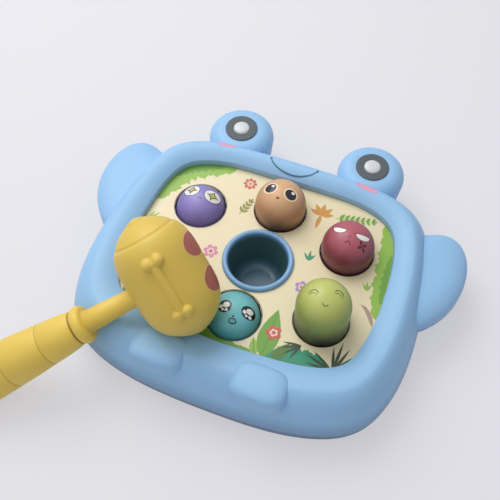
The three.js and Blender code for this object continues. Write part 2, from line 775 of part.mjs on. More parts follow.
// Bone in relief: four knobs and a shaft that stand half out of the head's side, on one line along the head.
function hammerBone() {
  const ball = new THREE.SphereGeometry(boneKnobRadius, boneSegments, boneSegments / 2);
  const knobs = [-1, 1].flatMap((end) => [-1, 1].map((side) => {
    const along = boneMiddle + end * boneHalfLength;
    const reach = hammerRadiusAt(along) - boneSink;
    return solid(ball.clone().translate(side * boneKnobSpread, along, reach).rotateY(boneTurn));
  }));
  const rings = Array.from({ length: boneSteps + 1 }, (unused, step) => {
    const along = boneMiddle + boneHalfLength * ((2 * step) / boneSteps - 1);
    const middle = hammerRadiusAt(along) - boneSink;
    return Array.from({ length: boneSegments }, (empty, side) => {
      const around = (side / boneSegments) * 2 * Math.PI;
      const across = boneShaftRadius * Math.sin(around);
      const reach = middle + boneShaftRadius * Math.cos(around);
      return [
        across * Math.cos(boneTurn) + reach * Math.sin(boneTurn),
        along,
        reach * Math.cos(boneTurn) - across * Math.sin(boneTurn),
      ];
    });
  });
  const cap = Array.from({ length: boneSegments - 2 }, (unused, i) => [0, i + 1, i + 2]);
  return joined(skinned(rings, cap, cap), ...knobs);
}

function hammerHeadPiece() {
  const half = hammerLength / 2;
  const outer = hammerOutline(-half, hammerSeam, headOutsideSteps, 0);
  const inner = hammerOutline(-half, hammerSeam, headInsideSteps, hammerWall).slice(0, -1);
  const seamInner = [hammerRadiusAt(hammerSeam) - hammerWall, hammerSeam];
  const shell = spunAlongY([...outer, seamInner, ...inner.toReversed()], shellSegments);
  const socketEnd = hammerRadius - socketDepth;
  const skin = hammerRadius - hammerWall / 2;
  const socketProfile = [[0, socketEnd], [socketRadius, socketEnd], [socketRadius, skin], [0, skin]];
  const socket = spunAlongHandle(socketProfile, smallSegments);
  const hole = neckRadius + seatGap;
  const past = hammerRadius + cutOver;
  const bore = spunAlongHandle([[0, 0], [hole, 0], [hole, past], [0, past]], smallSegments);
  const hollow = spunAlongY([...inner, seamInner, [0, hammerSeam]], shellSegments);
  const bone = cut(hammerBone(), hollow);
  return piece('hammer_head', cut(joined(shell, socket, bone), bore), hammerYellow);
}

function hammerCap() {
  const half = hammerLength / 2;
  const face = hammerSeam + seatGap;
  const outer = hammerOutline(face, half, capOutsideSteps, 0);
  const inner = hammerOutline(face, half, capInsideSteps, hammerWall).reverse().slice(0, -1);
  const spigotRadius = hammerRadiusAt(hammerSeam) - hammerWall - seatGap;
  const profile = [
    [spigotRadius - capSpigotWall, hammerSeam - capSpigot], [spigotRadius, hammerSeam - capSpigot],
    [spigotRadius, face], ...outer, ...inner, [spigotRadius - capSpigotWall, face],
  ];
  return piece('hammer_cap', spunAlongY([...profile, profile[0]], shellSegments), hammerYellow);
}

function gripRadiusAt(along) {
  const start = collarStart + collarLength;
  return gripRadius + ((gripEndRadius - gripRadius) * (along - start)) / (gripEnd - start);
}

function hammerHandle() {
  const start = hammerRadius - socketDepth;
  const collarEnd = collarStart + collarLength;
  const grooves = gripGroovePlaces.flatMap((place) => [
    [gripRadiusAt(place - gripGrooveHalf), place - gripGrooveHalf],
    [gripRadiusAt(place) - gripGroove, place],
    [gripRadiusAt(place + gripGrooveHalf), place + gripGrooveHalf],
  ]);
  const boreStart = collarEnd + gripWall;
  const profile = [
    [0, start], [neckRadius, start], [neckRadius, hammerRadius], [neckEndRadius, collarStart],
    [collarRadius - collarRound, collarStart], [collarRadius, collarStart + collarRound],
    [collarRadius, collarEnd - collarRound], [gripRadius, collarEnd],
    ...grooves,
    [gripEndRadius, gripEnd - gripRound], [gripEndRadius - gripRound / 2, gripEnd - gripEdge],
    [gripEndRadius - gripWall, gripEnd], [gripEndRadius - gripWall, gripEnd - plugThickness],
    [gripRadius - gripWall, boreStart], [0, boreStart],
  ];
  return piece('hammer_handle', spunAlongHandle(profile, handleSegments), hammerYellow);
}

function hammerEndPlug() {
  const radius = gripEndRadius - gripWall - seatGap;
  const low = gripEnd - plugThickness + seatGap;
  const high = gripEnd + plugCrown;
  const profile = [[0, low], [radius, low], [radius, gripEnd], [radius / 2, high], [0, high]];
  return piece('hammer_end_plug', spunAlongHandle(profile, handleSegments), hammerYellow);
}

function hammer() {
  const group = new THREE.Group();
  group.add(hammerHeadPiece(), hammerCap(), hammerHandle(), hammerEndPlug());
  group.position.set(hammerX, hammerY, deckLevel + hammerRise);
  group.rotation.set(hammerTilt, hammerDip, hammerTurn, 'ZYX');
  return group;
}

const game = new THREE.Group();
game.add(topShell(), bottomShell(), ...eyes(), ...rubberFeetPieces(), ...deckPieces(), centreCup());
game.add(...moleGroups(), ...screws(), hammer());

export default game;
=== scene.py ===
"""A toddler's pounding game, dressed for its photograph.

A frog-shaped board of light blue plastic holds six painted mole heads round a blue cup, and a yellow toy hammer
lies across one corner. Lengths are in metres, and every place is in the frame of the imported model.
"""

import bmesh
import bpy
import numpy as np
from mathutils import Matrix, Vector


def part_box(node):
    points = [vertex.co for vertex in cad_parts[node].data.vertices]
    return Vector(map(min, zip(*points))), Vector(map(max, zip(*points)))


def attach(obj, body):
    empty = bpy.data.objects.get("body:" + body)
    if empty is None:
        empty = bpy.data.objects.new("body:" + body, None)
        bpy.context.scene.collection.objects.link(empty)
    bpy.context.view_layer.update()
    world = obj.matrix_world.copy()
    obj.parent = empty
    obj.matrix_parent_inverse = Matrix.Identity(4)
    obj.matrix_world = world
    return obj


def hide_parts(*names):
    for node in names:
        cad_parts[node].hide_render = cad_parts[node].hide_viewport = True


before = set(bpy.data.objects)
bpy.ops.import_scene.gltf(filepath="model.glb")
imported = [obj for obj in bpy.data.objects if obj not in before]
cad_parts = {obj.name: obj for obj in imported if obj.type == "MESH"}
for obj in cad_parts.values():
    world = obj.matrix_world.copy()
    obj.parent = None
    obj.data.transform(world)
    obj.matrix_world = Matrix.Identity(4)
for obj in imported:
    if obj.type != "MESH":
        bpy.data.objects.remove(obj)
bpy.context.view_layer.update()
MM = 0.001
deck_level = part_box("deck_print")[1].z


# The stage: a camera at the photograph's angle over a pale floor, with soft light from the upper left.
# The camera was fitted to the seven round holes of the deck, in a picture of 500 by 500 pixels.
azimuth, elevation, camera_roll = np.radians((21.55, 58.35, -0.27))
camera_distance = 489.25 * MM
sensor_width = 36
focal_pixels = 732.8
picture_pixels = 500
target = Vector((-7.87 * MM, 5.74 * MM, deck_level))
back = Vector((
    np.sin(azimuth) * np.cos(elevation),
    -np.cos(azimuth) * np.cos(elevation),
    np.sin(elevation),
))
scene = bpy.context.scene


def new_object(name, data):
    """Object of the data, in the scene."""
    made = bpy.data.objects.new(name, data)
    scene.collection.objects.link(made)
    return made


camera_data = bpy.data.cameras.new("camera")
camera_data.sensor_width = sensor_width
camera_data.lens = focal_pixels / picture_pixels * sensor_width
camera_data.clip_start = 0.01
camera = new_object("camera", camera_data)
turn = back.to_track_quat("Z", "Y").to_matrix().to_4x4() @ Matrix.Rotation(camera_roll, 4, "Z")
camera.matrix_world = Matrix.Translation(target + back * camera_distance) @ turn
scene.camera = camera
scene.view_settings.view_transform = "Standard"


def linear(red, green, blue):
    """Scene colour from 8-bit display values: each is divided by 255 and raised by the display's curve."""
    shares = np.array([red, green, blue]) / 255
    low = shares / 12.92
    high = ((shares + 0.055) / 1.055) ** 2.4
    return (*np.where(shares <= 0.04045, low, high), 1.0)


def area_light(name, place, size, energy):
    """Square lamp at a place, facing the board's middle."""
    data = bpy.data.lights.new(name, "AREA")
    data.shape, data.size, data.energy = "SQUARE", size, energy
    facing = (Vector(place) - target).to_track_quat("Z", "Y").to_matrix().to_4x4()
    new_object(name, data).matrix_world = Matrix.Translation(place) @ facing


area_light("key", (-0.46, 0.34, 0.82), 0.7, 6.1)
area_light("fill", (-0.3, -0.45, 0.95), 0.9, 1.7)


def feed(tree, node, inputs):
    """Gives each named input of a node its value, or a link where a socket is given."""
    for key, value in inputs.items():
        if isinstance(value, bpy.types.NodeSocket):
            tree.links.new(value, node.inputs[key])
        else:
            node.inputs[key].default_value = value


def add_node(tree, kind, inputs=None, **settings):
    """New shader node of a kind, with its settings and its inputs."""
    node = tree.nodes.new(f"ShaderNode{kind}")
    for key, value in settings.items():
        setattr(node, key, value)
    feed(tree, node, inputs or {})
    return node


def background_share(tree):
    """Socket that is 1 for the rays that show the background, straight or by mirror or glass, else 0."""
    rays = add_node(tree, "LightPath").outputs
    shown = rays["Is Camera Ray"]
    for kind in ("Is Glossy Ray", "Is Transmission Ray"):
        shown = add_node(tree, "Math", {0: shown, 1: rays[kind]}, operation="MAXIMUM").outputs[0]
    return shown


world = bpy.data.worlds.new("room")
scene.world = world
world.use_nodes = True
sky = world.node_tree
sky_level = add_node(sky, "MapRange", {"Value": background_share(sky), "To Min": 0.45, "To Max": 0.92})
feed(sky, sky.nodes["Background"], {"Color": linear(238, 240, 244), "Strength": sky_level.outputs["Result"]})

floor_half = 30.0
floor_corners = [(x * floor_half, y * floor_half, 0) for x, y in ((-1, -1), (1, -1), (1, 1), (-1, 1))]
floor_data = bpy.data.meshes.new("floor")
floor_data.from_pydata(floor_corners, [], [(0, 1, 2, 3)])
floor = new_object("floor", floor_data)
paper = bpy.data.materials.new("floor_paper")
paper.use_nodes = True
paper_tree = paper.node_tree
paper_shade = paper_tree.nodes["Principled BSDF"]
feed(paper_tree, paper_shade, {"Base Color": linear(234, 234, 239), "Roughness": 0.9, "Specular IOR Level": 0.2})
paper_light = add_node(paper_tree, "Emission", {"Color": linear(230, 229, 234)})
paper_glow = 0.6
paper_evenness = add_node(paper_tree, "Math", {0: background_share(paper_tree), 1: paper_glow}, operation="MULTIPLY")
paper_mix = add_node(paper_tree, "MixShader", {
    "Fac": paper_evenness.outputs[0], 1: paper_shade.outputs[0], 2: paper_light.outputs[0],
})
feed(paper_tree, paper_tree.nodes["Material Output"], {"Surface": paper_mix.outputs[0]})
floor_data.materials.append(paper)


# Moulded plastic: the finish of every shell, head and handle. Injection moulding leaves a faint unevenness of
# tone, slow waves in the gloss and a very fine grain, and one node group gives those to each colour.
def moulding_group():
    """Node group: slow noise shifts the tone and gloss, fine noise raises a grain for the bump."""
    group = bpy.data.node_groups.new("moulding", "ShaderNodeTree")
    for label, kind, value in (("Colour", "Color", (0.5, 0.5, 0.5, 1)), ("Tone", "Float", 0.05),
                               ("Gloss", "Float", 0.35), ("Gloss spread", "Float", 0.06), ("Grain", "Float", 0.1)):
        group.interface.new_socket(label, in_out="INPUT", socket_type=f"NodeSocket{kind}").default_value = value
    for label, kind in (("Colour", "Color"), ("Roughness", "Float"), ("Normal", "Vector")):
        group.interface.new_socket(label, in_out="OUTPUT", socket_type=f"NodeSocket{kind}")
    given = group.nodes.new("NodeGroupInput").outputs
    place = add_node(group, "TexCoord").outputs["Object"]
    slow = add_node(group, "TexNoise", {"Vector": place, "Scale": 18, "Detail": 3})
    centred = add_node(group, "Math", {0: slow.outputs["Fac"], 1: 0.5}, operation="SUBTRACT").outputs[0]
    shift = add_node(group, "Math", {0: centred, 1: given["Tone"], 2: 1}, operation="MULTIPLY_ADD")
    tone = add_node(group, "VectorMath", {0: given["Colour"], "Scale": shift.outputs[0]}, operation="SCALE")
    gloss = add_node(group, "Math", {0: centred, 1: given["Gloss spread"], 2: given["Gloss"]},
                     operation="MULTIPLY_ADD")
    fine = add_node(group, "TexNoise", {"Vector": place, "Scale": 900, "Detail": 2})
    bump = add_node(group, "Bump", {"Distance": 0.0002, "Strength": given["Grain"], "Height": fine.outputs["Fac"]})
    feed(group, group.nodes.new("NodeGroupOutput"), {
        "Colour": tone.outputs[0], "Roughness": gloss.outputs[0], "Normal": bump.outputs["Normal"],
    })
    return group


moulding = moulding_group()


def moulded(name, colour, gloss=0.35, tone=0.05, grain=0.1, coat=0.0, metal=0.0):
    """Material of one plastic colour, in 8-bit display values, with the moulding marks."""
    material = bpy.data.materials.new(name)
    material.use_nodes = True
    tree = material.node_tree
    marks = add_node(tree, "Group", {"Colour": linear(*colour), "Tone": tone, "Gloss": gloss, "Grain": grain},
                     node_tree=moulding, name="marks").outputs
    feed(tree, tree.nodes["Principled BSDF"], {
        "Base Color": marks["Colour"], "Roughness": marks["Roughness"], "Normal": marks["Normal"],
        "Metallic": metal, "Coat Weight": coat, "Coat Roughness": 0.12,
    })
    return material


def graded(name, low, high, stops, **finish):
    """Moulded plastic whose colour follows the height: (share, colour) stops between two levels of the piece."""
    material = moulded(name, stops[0][1], **finish)
    tree = material.node_tree
    place = add_node(tree, "TexCoord", name="place")
    split = add_node(tree, "SeparateXYZ", {0: place.outputs["Object"]})
    level = add_node(tree, "MapRange", {"Value": split.outputs["Z"], "From Min": low, "From Max": high})
    ramp = add_node(tree, "ValToRGB", {"Fac": level.outputs["Result"]}, name="ramp")
    ramp.color_ramp.interpolation = "EASE"
    for share, colour in stops[1:-1]:
        ramp.color_ramp.elements.new(share).color = linear(*colour)
    for end in (0, -1):
        ramp.color_ramp.elements[end].color = linear(*stops[end][1])
    feed(tree, tree.nodes["marks"], {"Colour": ramp.outputs["Color"]})
    return material


def dress(node, material):
    """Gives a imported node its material."""
    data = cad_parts[node].data
    data.materials.clear()
    data.materials.append(material)


def quads(rows, columns, round_shut=True):
    """Corner numbers of the squares of a grid, its last column joined to its first where it goes round."""
    index = np.arange(rows * columns).reshape(rows, columns)
    if round_shut:
        index = np.concatenate([index, index[:, :1]], axis=1)
    return np.stack([index[:-1, :-1], index[1:, :-1], index[1:, 1:], index[:-1, 1:]], axis=-1).reshape(-1, 4)


def piece(name, vertices, faces, materials, body="board", slots=0, upward=0):
    """Object from arrays: doubles merged, faces turned outwards. An open surface faces up for 1 and down for -1."""
    data = bpy.data.meshes.new(name)
    data.from_pydata(vertices.tolist(), [], faces.tolist())
    for material in materials:
        data.materials.append(material)
    data.polygons.foreach_set("material_index", np.full(len(faces), slots, dtype=np.int32))
    work = bmesh.new()
    work.from_mesh(data)
    bmesh.ops.remove_doubles(work, verts=work.verts, dist=1e-6)
    bmesh.ops.dissolve_degenerate(work, dist=1e-7, edges=work.edges)
    bmesh.ops.recalc_face_normals(work, faces=work.faces)
    if upward * sum(face.normal.z * face.calc_area() for face in work.faces) < 0:
        bmesh.ops.reverse_faces(work, faces=work.faces)
    work.to_mesh(data)
    work.free()
    data.polygons.foreach_set("use_smooth", np.ones(len(data.polygons), dtype=bool))
    made = new_object(name, data)
    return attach(made, body)


def woven(name, grid, materials, body="board", slots=0, upward=0):
    """Piece from a grid of points whose last column joins its first."""
    return piece(name, grid.reshape(-1, 3), quads(*grid.shape[:2]), materials, body, slots, upward)


def walled(surface, thickness):
    """Gives a surface a wall behind it."""
    wall = surface.modifiers.new("wall", "SOLIDIFY")
    wall.thickness = thickness
    wall.offset = -1


def polar(radius, angles):
    """Flat points at a radius and at angles round the origin."""
    return np.stack([radius * np.cos(angles), radius * np.sin(angles)], axis=-1)


def arc(radius, steps, start=0.0, stop=90.0):
    """Points of a circle's arc about the origin, as (across, up) pairs, between two angles in degrees."""
    return polar(radius, np.radians(np.linspace(start, stop, steps)))


def full_turn(count):
    """Even angles once round a circle."""
    return np.linspace(0, 2 * np.pi, count, endpoint=False)


def turned_grid(profile, around):
    """Grid of points: each (radius, height) point of the profile goes round an upright axis at the origin."""
    angles, radius, height = full_turn(around), profile[:, :1], profile[:, 1:]
    return np.stack(np.broadcast_arrays(radius * np.cos(angles), radius * np.sin(angles), height), axis=-1)


def turned(name, profile, centre, material, body="board", around=128):
    """Surface of revolution of a profile round an upright axis through the centre."""
    return woven(name, turned_grid(profile, around) + (centre[0], centre[1], 0), [material], body)


# Frame: the puffy ring of the top shell, moulded in light blue plastic. It rises from the seam over a round
# crest and falls to the lip of the deck, and it screws to the tray from below.
body_half_width, body_back, body_front = 113 * MM, 89 * MM, 100 * MM
opening_half_width, opening_back, opening_front = 85.4 * MM, 66.8 * MM, 65.5 * MM
body_shares = np.array([
    (0, 1), (0.4, 0.985), (0.7, 0.925), (0.87, 0.76), (0.94, 0.5), (0.99, 0.1),
    (1, -0.25), (0.96, -0.56), (0.85, -0.79), (0.62, -0.93), (0.31, -0.99), (0, -1),
])
opening_shares = np.array([
    (0, 1), (0.35, 1), (0.63, 0.965), (0.84, 0.85), (0.94, 0.66), (0.995, 0.2),
    (0.998, -0.2), (0.965, -0.53), (0.88, -0.79), (0.645, -0.935), (0.32, -0.985), (0, -1),
])
seam_level, belt_level, painted_shade_top = 8.5 * MM, 19 * MM, 32 * MM
# Painted shade: the frame's blue gets darker from about 32 mm down to the seam, as shade on the lower side of the
# ring. The eye bosses, hands and feet wear the same graded blue.
frame_blue = graded("frame_blue", seam_level, painted_shade_top, [
    (0, (44, 64, 86)), (0.18, (76, 108, 140)), (0.5, (126, 166, 204)), (1, (152, 197, 236)),
], gloss=0.5, grain=0.12)
lip_rise, crest_rise = 5.5 * MM, 10 * MM
edge_undercut = 1.8 * MM
crest_share = 0.52
shell_wall = 2.2 * MM
lip_round = 1.2 * MM
lip_start = np.radians(35)


def smooth_loop(knots, count, spacing):
    """Closed cubic spline through the knots, smooth to the second derivative, at even steps of the spacing."""
    points = np.vstack([knots, knots[:1]])
    steps = np.diff(spacing)
    size = len(knots)
    before = np.roll(steps, 1)
    system = np.diag(2 * (before + steps))
    system += np.roll(np.diag(steps), 1, axis=1) + np.roll(np.diag(before), -1, axis=1)
    slopes = np.diff(points, axis=0) / steps[:, None]
    bend = np.linalg.solve(system, 6 * (slopes - np.roll(slopes, 1, axis=0)))
    at = np.linspace(0, spacing[-1], count, endpoint=False)
    span = np.clip(np.searchsorted(spacing, at, side="right") - 1, 0, size - 1)
    ahead = (spacing[span + 1] - at)[:, None]
    behind = (at - spacing[span])[:, None]
    width = steps[span][:, None]
    first, last = bend[span], bend[(span + 1) % size]
    start, stop = points[span], points[span + 1]
    return (
        first * ahead**3 / (6 * width) + last * behind**3 / (6 * width)
        + (start / width - first * width / 6) * ahead + (stop / width - last * width / 6) * behind
    )


def both_sides(shares, half_width, back_reach, front_reach):
    """Knots of a whole outline, from the back round the left side to the front and up the right side."""
    reach = np.where(shares[:, 1] > 0, back_reach, front_reach)
    half = np.stack([-shares[:, 0] * half_width, shares[:, 1] * reach], axis=1)
    other = half[1:-1][::-1] * (-1, 1)
    return np.vstack([half, other])


def loop_spacing(knots):
    """Way along a closed line of knots up to each of them, and then all round."""
    gaps = np.linalg.norm(np.roll(knots, -1, axis=0) - knots, axis=1)
    return np.concatenate([[0], np.cumsum(gaps)])


body_knots = both_sides(body_shares, body_half_width, body_back, body_front)
opening_knots = both_sides(opening_shares, opening_half_width, opening_back, opening_front)
knot_spacing = loop_spacing((body_knots + opening_knots) / 2)
ring_points = 480
body_loop = smooth_loop(body_knots, ring_points, knot_spacing)
opening_loop = smooth_loop(opening_knots, ring_points, knot_spacing)


def beside(along):
    """Unit vectors to the left of the given directions."""
    along = along / np.linalg.norm(along, axis=1, keepdims=True)
    return np.stack([-along[:, 1], along[:, 0]], axis=1)


def moved_in(loop, distance):
    """Loop moved inwards along its normals by a distance."""
    return loop + beside(np.roll(loop, -1, axis=0) - np.roll(loop, 1, axis=0)) * distance


def ring_surface(rows):
    """Grid over the ring: a row (moved in, share across, height, moved out) is a loop between the two outlines."""
    loops = []
    for inset, share, height, *outset in rows:
        outer = moved_in(body_loop, inset)
        inner = moved_in(opening_loop, -sum(outset))
        loops.append(np.column_stack([outer + (inner - outer) * share, np.full(ring_points, height)]))
    return np.stack(loops)


side_fullness = 1.6
rise = np.linspace(0, np.pi / 2, 26)[:-1]
fall = np.linspace(0, 1, 16)
under = np.linspace(0, np.pi / 2, 8)[:-1]
lip_turn = np.linspace(lip_start, np.pi / 2, 8)[1:]
wall_drop = np.linspace(0, 1, 5)[1:]
crest_level = deck_level + crest_rise
lip_level = deck_level + lip_rise
ring_rows = [(edge_undercut * (1 - np.sin(a)), 0, seam_level + (belt_level - seam_level) * (1 - np.cos(a)))
             for a in under]
ring_rows += [(0, crest_share * (1 - np.cos(a) ** (2 / side_fullness)),
               belt_level + (crest_level - belt_level) * np.sin(a) ** (2 / side_fullness)) for a in rise]
ring_rows += [(0, crest_share + (1 - crest_share) * across, crest_level - (crest_level - lip_level) * across**2,
               lip_round * (1 - np.sin(lip_start)) * across) for across in fall]
ring_rows += [(0, 1, lip_level - lip_round * (np.cos(lip_start) - np.cos(a)), lip_round * (1 - np.sin(a)))
              for a in lip_turn]
wall_top, wall_sink = ring_rows[-1][2], 0.3 * MM
ring_rows += [(0, 1, wall_top - (wall_top - deck_level + wall_sink) * step) for step in wall_drop]
frame_ring = woven("frame_ring", ring_surface(ring_rows), [frame_blue], upward=1)
walled(frame_ring, shell_wall)
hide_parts("top_shell")


# Eye bosses: two round domes with flat tops behind the frame, in one moulding with it. Each carries a grey ring
# with a white domed button pressed into its middle.
sides = ((-1, "left"), (1, "right"))
eye_boss_x, eye_boss_y, eye_boss_radius = 49.4 * MM, 95.4 * MM, 23.6 * MM
eye_boss_top = deck_level + 8.5 * MM
eye_boss_shoulder, eye_boss_rim, eye_boss_draft = 10 * MM, 22 * MM, 1.2 * MM
eye_ring_hole, eye_ring_edge = 5.95 * MM, 0.5 * MM
button_crown, button_fullness = 2 * MM, 0.6
boss_profile = np.vstack([
    [(eye_boss_radius - eye_boss_draft, eye_boss_rim)],
    arc(eye_boss_shoulder, 20) + (eye_boss_radius - eye_boss_shoulder, eye_boss_top - eye_boss_shoulder),
    [(0, eye_boss_top)],
])
ring_grey = moulded("ring_grey", (78, 88, 92), gloss=0.55, tone=0.1, grain=0.25)
button_white = moulded("button_white", (214, 216, 218), tone=0.03, grain=0.08, coat=0.2)
for side, label in sides:
    boss = turned(f"eye_boss_{label}", boss_profile, (side * eye_boss_x, eye_boss_y), frame_blue, around=160)
    walled(boss, shell_wall)
    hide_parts("top_shell")
    low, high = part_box(f"eye_ring_{label}")
    centre = ((low.x + high.x) / 2, (low.y + high.y) / 2)
    ring_radius, ring_shoulder = (high.x - low.x) / 2, high.z - eye_ring_edge
    ring_profile = np.vstack([
        [(eye_ring_hole, low.z), (ring_radius, low.z)],
        arc(eye_ring_edge, 6) + (ring_radius - eye_ring_edge, ring_shoulder),
        arc(eye_ring_edge, 6, 90, 180) + (eye_ring_hole + eye_ring_edge, ring_shoulder),
        [(eye_ring_hole, low.z)],
    ])
    eye_ring = turned(f"grey_ring_{label}", ring_profile, centre, ring_grey)
    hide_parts(f"eye_ring_{label}")
    low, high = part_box(f"eye_button_{label}")
    button_radius = (high.x - low.x) / 2
    crown = np.linspace(0, np.pi / 2, 14)
    button_profile = np.vstack([
        [(0, low.z), (button_radius, low.z)],
        np.stack([button_radius * np.cos(crown) ** button_fullness, high.z - button_crown * (1 - np.sin(crown))],
                 axis=1),
    ])
    button = turned(f"white_button_{label}", button_profile, centre, button_white)
    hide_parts(f"eye_button_{label}")


# The frame's own face: a smiling line with a dot at each end on the back of the frame, and a rose blush under each
# eye. Both are pad printed: thin ink that follows the curve of the moulding.
ink_smile = moulded("ink_smile", (58, 104, 128), gloss=0.4, tone=0.04, grain=0.05)
ink_rose = moulded("ink_rose", (226, 160, 190), gloss=0.4, tone=0.06, grain=0.05)
smile_knots = np.array([(-19.2, 76.5), (-17.6, 74.2), (-15, 72.4), (-10.5, 70.5), (-5, 69.4), (0, 69.2), (5.5, 70.1),
                        (11, 72.5), (13.4, 74.6), (15, 76.9)])
blush_middles = {"left": (-54, 77.2, 3), "right": (51.2, 76.3, -10)}
smile_width, bulb_radius, ink_height = 1.0, 0.9, 0.09
blush_half = (8.6, 2.7)


def filled(outline, material, height, rings=6):
    """Layer of ink in a star-shaped outline: rings of points from its middle out to it."""
    middle = outline.mean(axis=0)
    shares = np.linspace(0, 1, rings)[:, None, None]
    return (middle + (outline - middle) * shares, material, True, height)


def stroke(path, width, material, height):
    """Layer of ink in a strip of a width along an open path, with round ends."""
    half = np.full(len(path), width / 2)
    ends = np.array([0.0, 0.55, 0.85])
    half[:3] *= ends
    half[-3:] *= ends[::-1]
    across = np.linspace(-1, 1, 3)[:, None, None]
    return (path + beside(np.gradient(path, axis=0)) * half[:, None] * across, material, False, height)


def printed(name, layers, lay, body="board"):
    """Thin ink on a surface. A layer is (grid, material, goes round, height) in millimetres, and lay places it."""
    vertices, faces, slots, count = [], [], [], 0
    materials = list(dict.fromkeys(material for _, material, _, _ in layers))
    for grid, material, round_shut, height in layers:
        vertices.append(lay(grid.reshape(-1, 2) * MM, height * MM))
        faces.append(quads(*grid.shape[:2], round_shut) + count)
        slots.append(np.full(len(faces[-1]), materials.index(material)))
        count += len(vertices[-1])
    return piece(name, np.vstack(vertices), np.vstack(faces), materials, body, np.concatenate(slots), upward=1)


def turned_flat(points, degrees, x, y):
    """Flat points turned about the origin and moved to a place."""
    spin = np.radians(degrees)
    return points @ np.array([[np.cos(spin), np.sin(spin)], [-np.sin(spin), np.cos(spin)]]) + (x, y)


def oval(x, y, half_x, half_y, degrees=0.0, count=48):
    """Ellipse outline, turned about its middle."""
    return turned_flat(polar(1, full_turn(count)) * (half_x, half_y), degrees, x, y)


def on_frame(flat, height):
    """Flat points laid on the ring: the two nearest spans between the outlines give the share across it, and the
    share gives the level of the moulded curve."""
    spans = opening_loop - body_loop
    reach = np.linalg.norm(spans, axis=1)
    offset = flat[:, None, :] - body_loop[None]
    aside = (offset[..., 0] * spans[:, 1] - offset[..., 1] * spans[:, 0]) / reach
    shares = (offset * spans).sum(axis=2) / reach**2
    far = np.where((shares > -0.2) & (shares < 1.2), np.abs(aside), np.inf)
    near = np.argsort(far, axis=1)[:, :2]
    away = np.take_along_axis(far, near, axis=1)
    weight = away[:, ::-1] / away.sum(axis=1, keepdims=True)
    across = (np.take_along_axis(shares, near, axis=1) * weight).sum(axis=1)
    top = np.array([row[1:3] for row in ring_rows if row[2] >= belt_level])[: len(rise) + len(fall)]
    return np.column_stack([flat, np.interp(across, top[:, 0], top[:, 1]) + height])


def along_knots(knots, count=60):
    """Evenly spaced points on the broken line through the knots, rounded by a running mean of five."""
    steps = loop_spacing(knots)[:-1]
    at = np.linspace(0, steps[-1], count)
    line = np.column_stack([np.interp(at, steps, knots[:, 0]), np.interp(at, steps, knots[:, 1])])
    padded = np.pad(line, ((2, 2), (0, 0)), "edge")
    return sum(padded[shift:shift + count] for shift in range(5)) / 5


smile = printed("smile_print", [
    stroke(along_knots(smile_knots), smile_width, ink_smile, ink_height),
    filled(oval(*smile_knots[0], bulb_radius, bulb_radius), ink_smile, 2 * ink_height),
    filled(oval(*smile_knots[-1], bulb_radius, bulb_radius), ink_smile, 2 * ink_height),
], on_frame)
for label, (*middle, degrees) in blush_middles.items():
    patch = oval(*middle, *blush_half, degrees)
    blush = printed(f"blush_{label}", [filled(patch, ink_rose, ink_height, 10)], on_frame)


# Hands: flat rounded paddles on both sides of the frame at half its height, in one moulding with it.
# Each is hollow underneath and ends in a plain rim. Its rows are the outline drawn in towards a spine.
hand_inner, hand_reach, hand_back, hand_front = 86 * MM, 132 * MM, 67.5 * MM, -9 * MM
hand_rim, hand_belt, hand_top, hand_shoulder = 24 * MM, 30 * MM, 38.5 * MM, 15 * MM
hand_shares = np.array([
    (0, 0.82), (0.27, 0.94), (0.55, 1), (0.79, 0.95), (0.93, 0.83), (1, 0.64), (0.975, 0.44),
    (0.86, 0.25), (0.7, 0.11), (0.46, 0), (0.22, 0.02), (0.05, 0.3),
])
hand_points, spine_shift = 160, 0.04
hand_loop = np.clip(smooth_loop(hand_shares, hand_points, loop_spacing(hand_shares)), 0, 1)
hand_size = np.array([hand_reach - hand_inner, hand_back - hand_front])
hand_middle = np.array([(hand_reach + hand_inner) / 2, (hand_back + hand_front) / 2])
hand_outline = hand_middle + (hand_loop - 0.5) * hand_size
hand_spine = hand_middle + (0, spine_shift * hand_size[1])
hand_rows = [(0, hand_rim)]
hand_rows += [(hand_shoulder * (1 - np.cos(a)), hand_belt + (hand_top - hand_belt) * np.sin(a))
              for a in np.linspace(0, np.pi / 2, 22)]
hand_rows += [(hand_shoulder + (hand_size[0] / 2 - hand_shoulder) * share, hand_top) for share in (0.35, 0.7, 1)]
hand_grid = np.stack([
    np.column_stack([hand_outline + (hand_spine - hand_outline) * (distance / (hand_size[0] / 2)),
                     np.full(hand_points, height)]) for distance, height in hand_rows
])
for side, label in sides:
    hand = woven(f"hand_{label}", hand_grid * (side, 1, 1), [frame_blue], upward=1)
    walled(hand, shell_wall)
    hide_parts("top_shell")


# Feet: two raised pads on the front of the frame, in one moulding with it.
# Each is a superellipsoid: powers of sine and cosine flatten the sides and the top of a ball.
foot_x, foot_y, foot_level = 32.8 * MM, -83.3 * MM, 38 * MM
foot_half = np.array([18.4, 12.6, 10.8]) * MM
foot_squareness, foot_steepness = 2 / 3, 0.54


def power(value, share):
    """Power of a sine or cosine that keeps its sign."""
    return np.sign(value) * np.abs(value) ** share


foot_up, foot_around = np.linspace(-np.pi / 2, np.pi / 2, 56)[:, None], full_turn(128)
foot_waist = power(np.cos(foot_up), foot_steepness)
foot_grid = foot_half * np.stack(np.broadcast_arrays(
    foot_waist * power(np.cos(foot_around), foot_squareness),
    foot_waist * power(np.sin(foot_around), foot_squareness),
    power(np.sin(foot_up), foot_steepness),
), axis=-1)
for side, label in sides:
    foot = woven(f"foot_{label}", foot_grid + (side * foot_x, foot_y, foot_level), [frame_blue])
    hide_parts("top_shell")
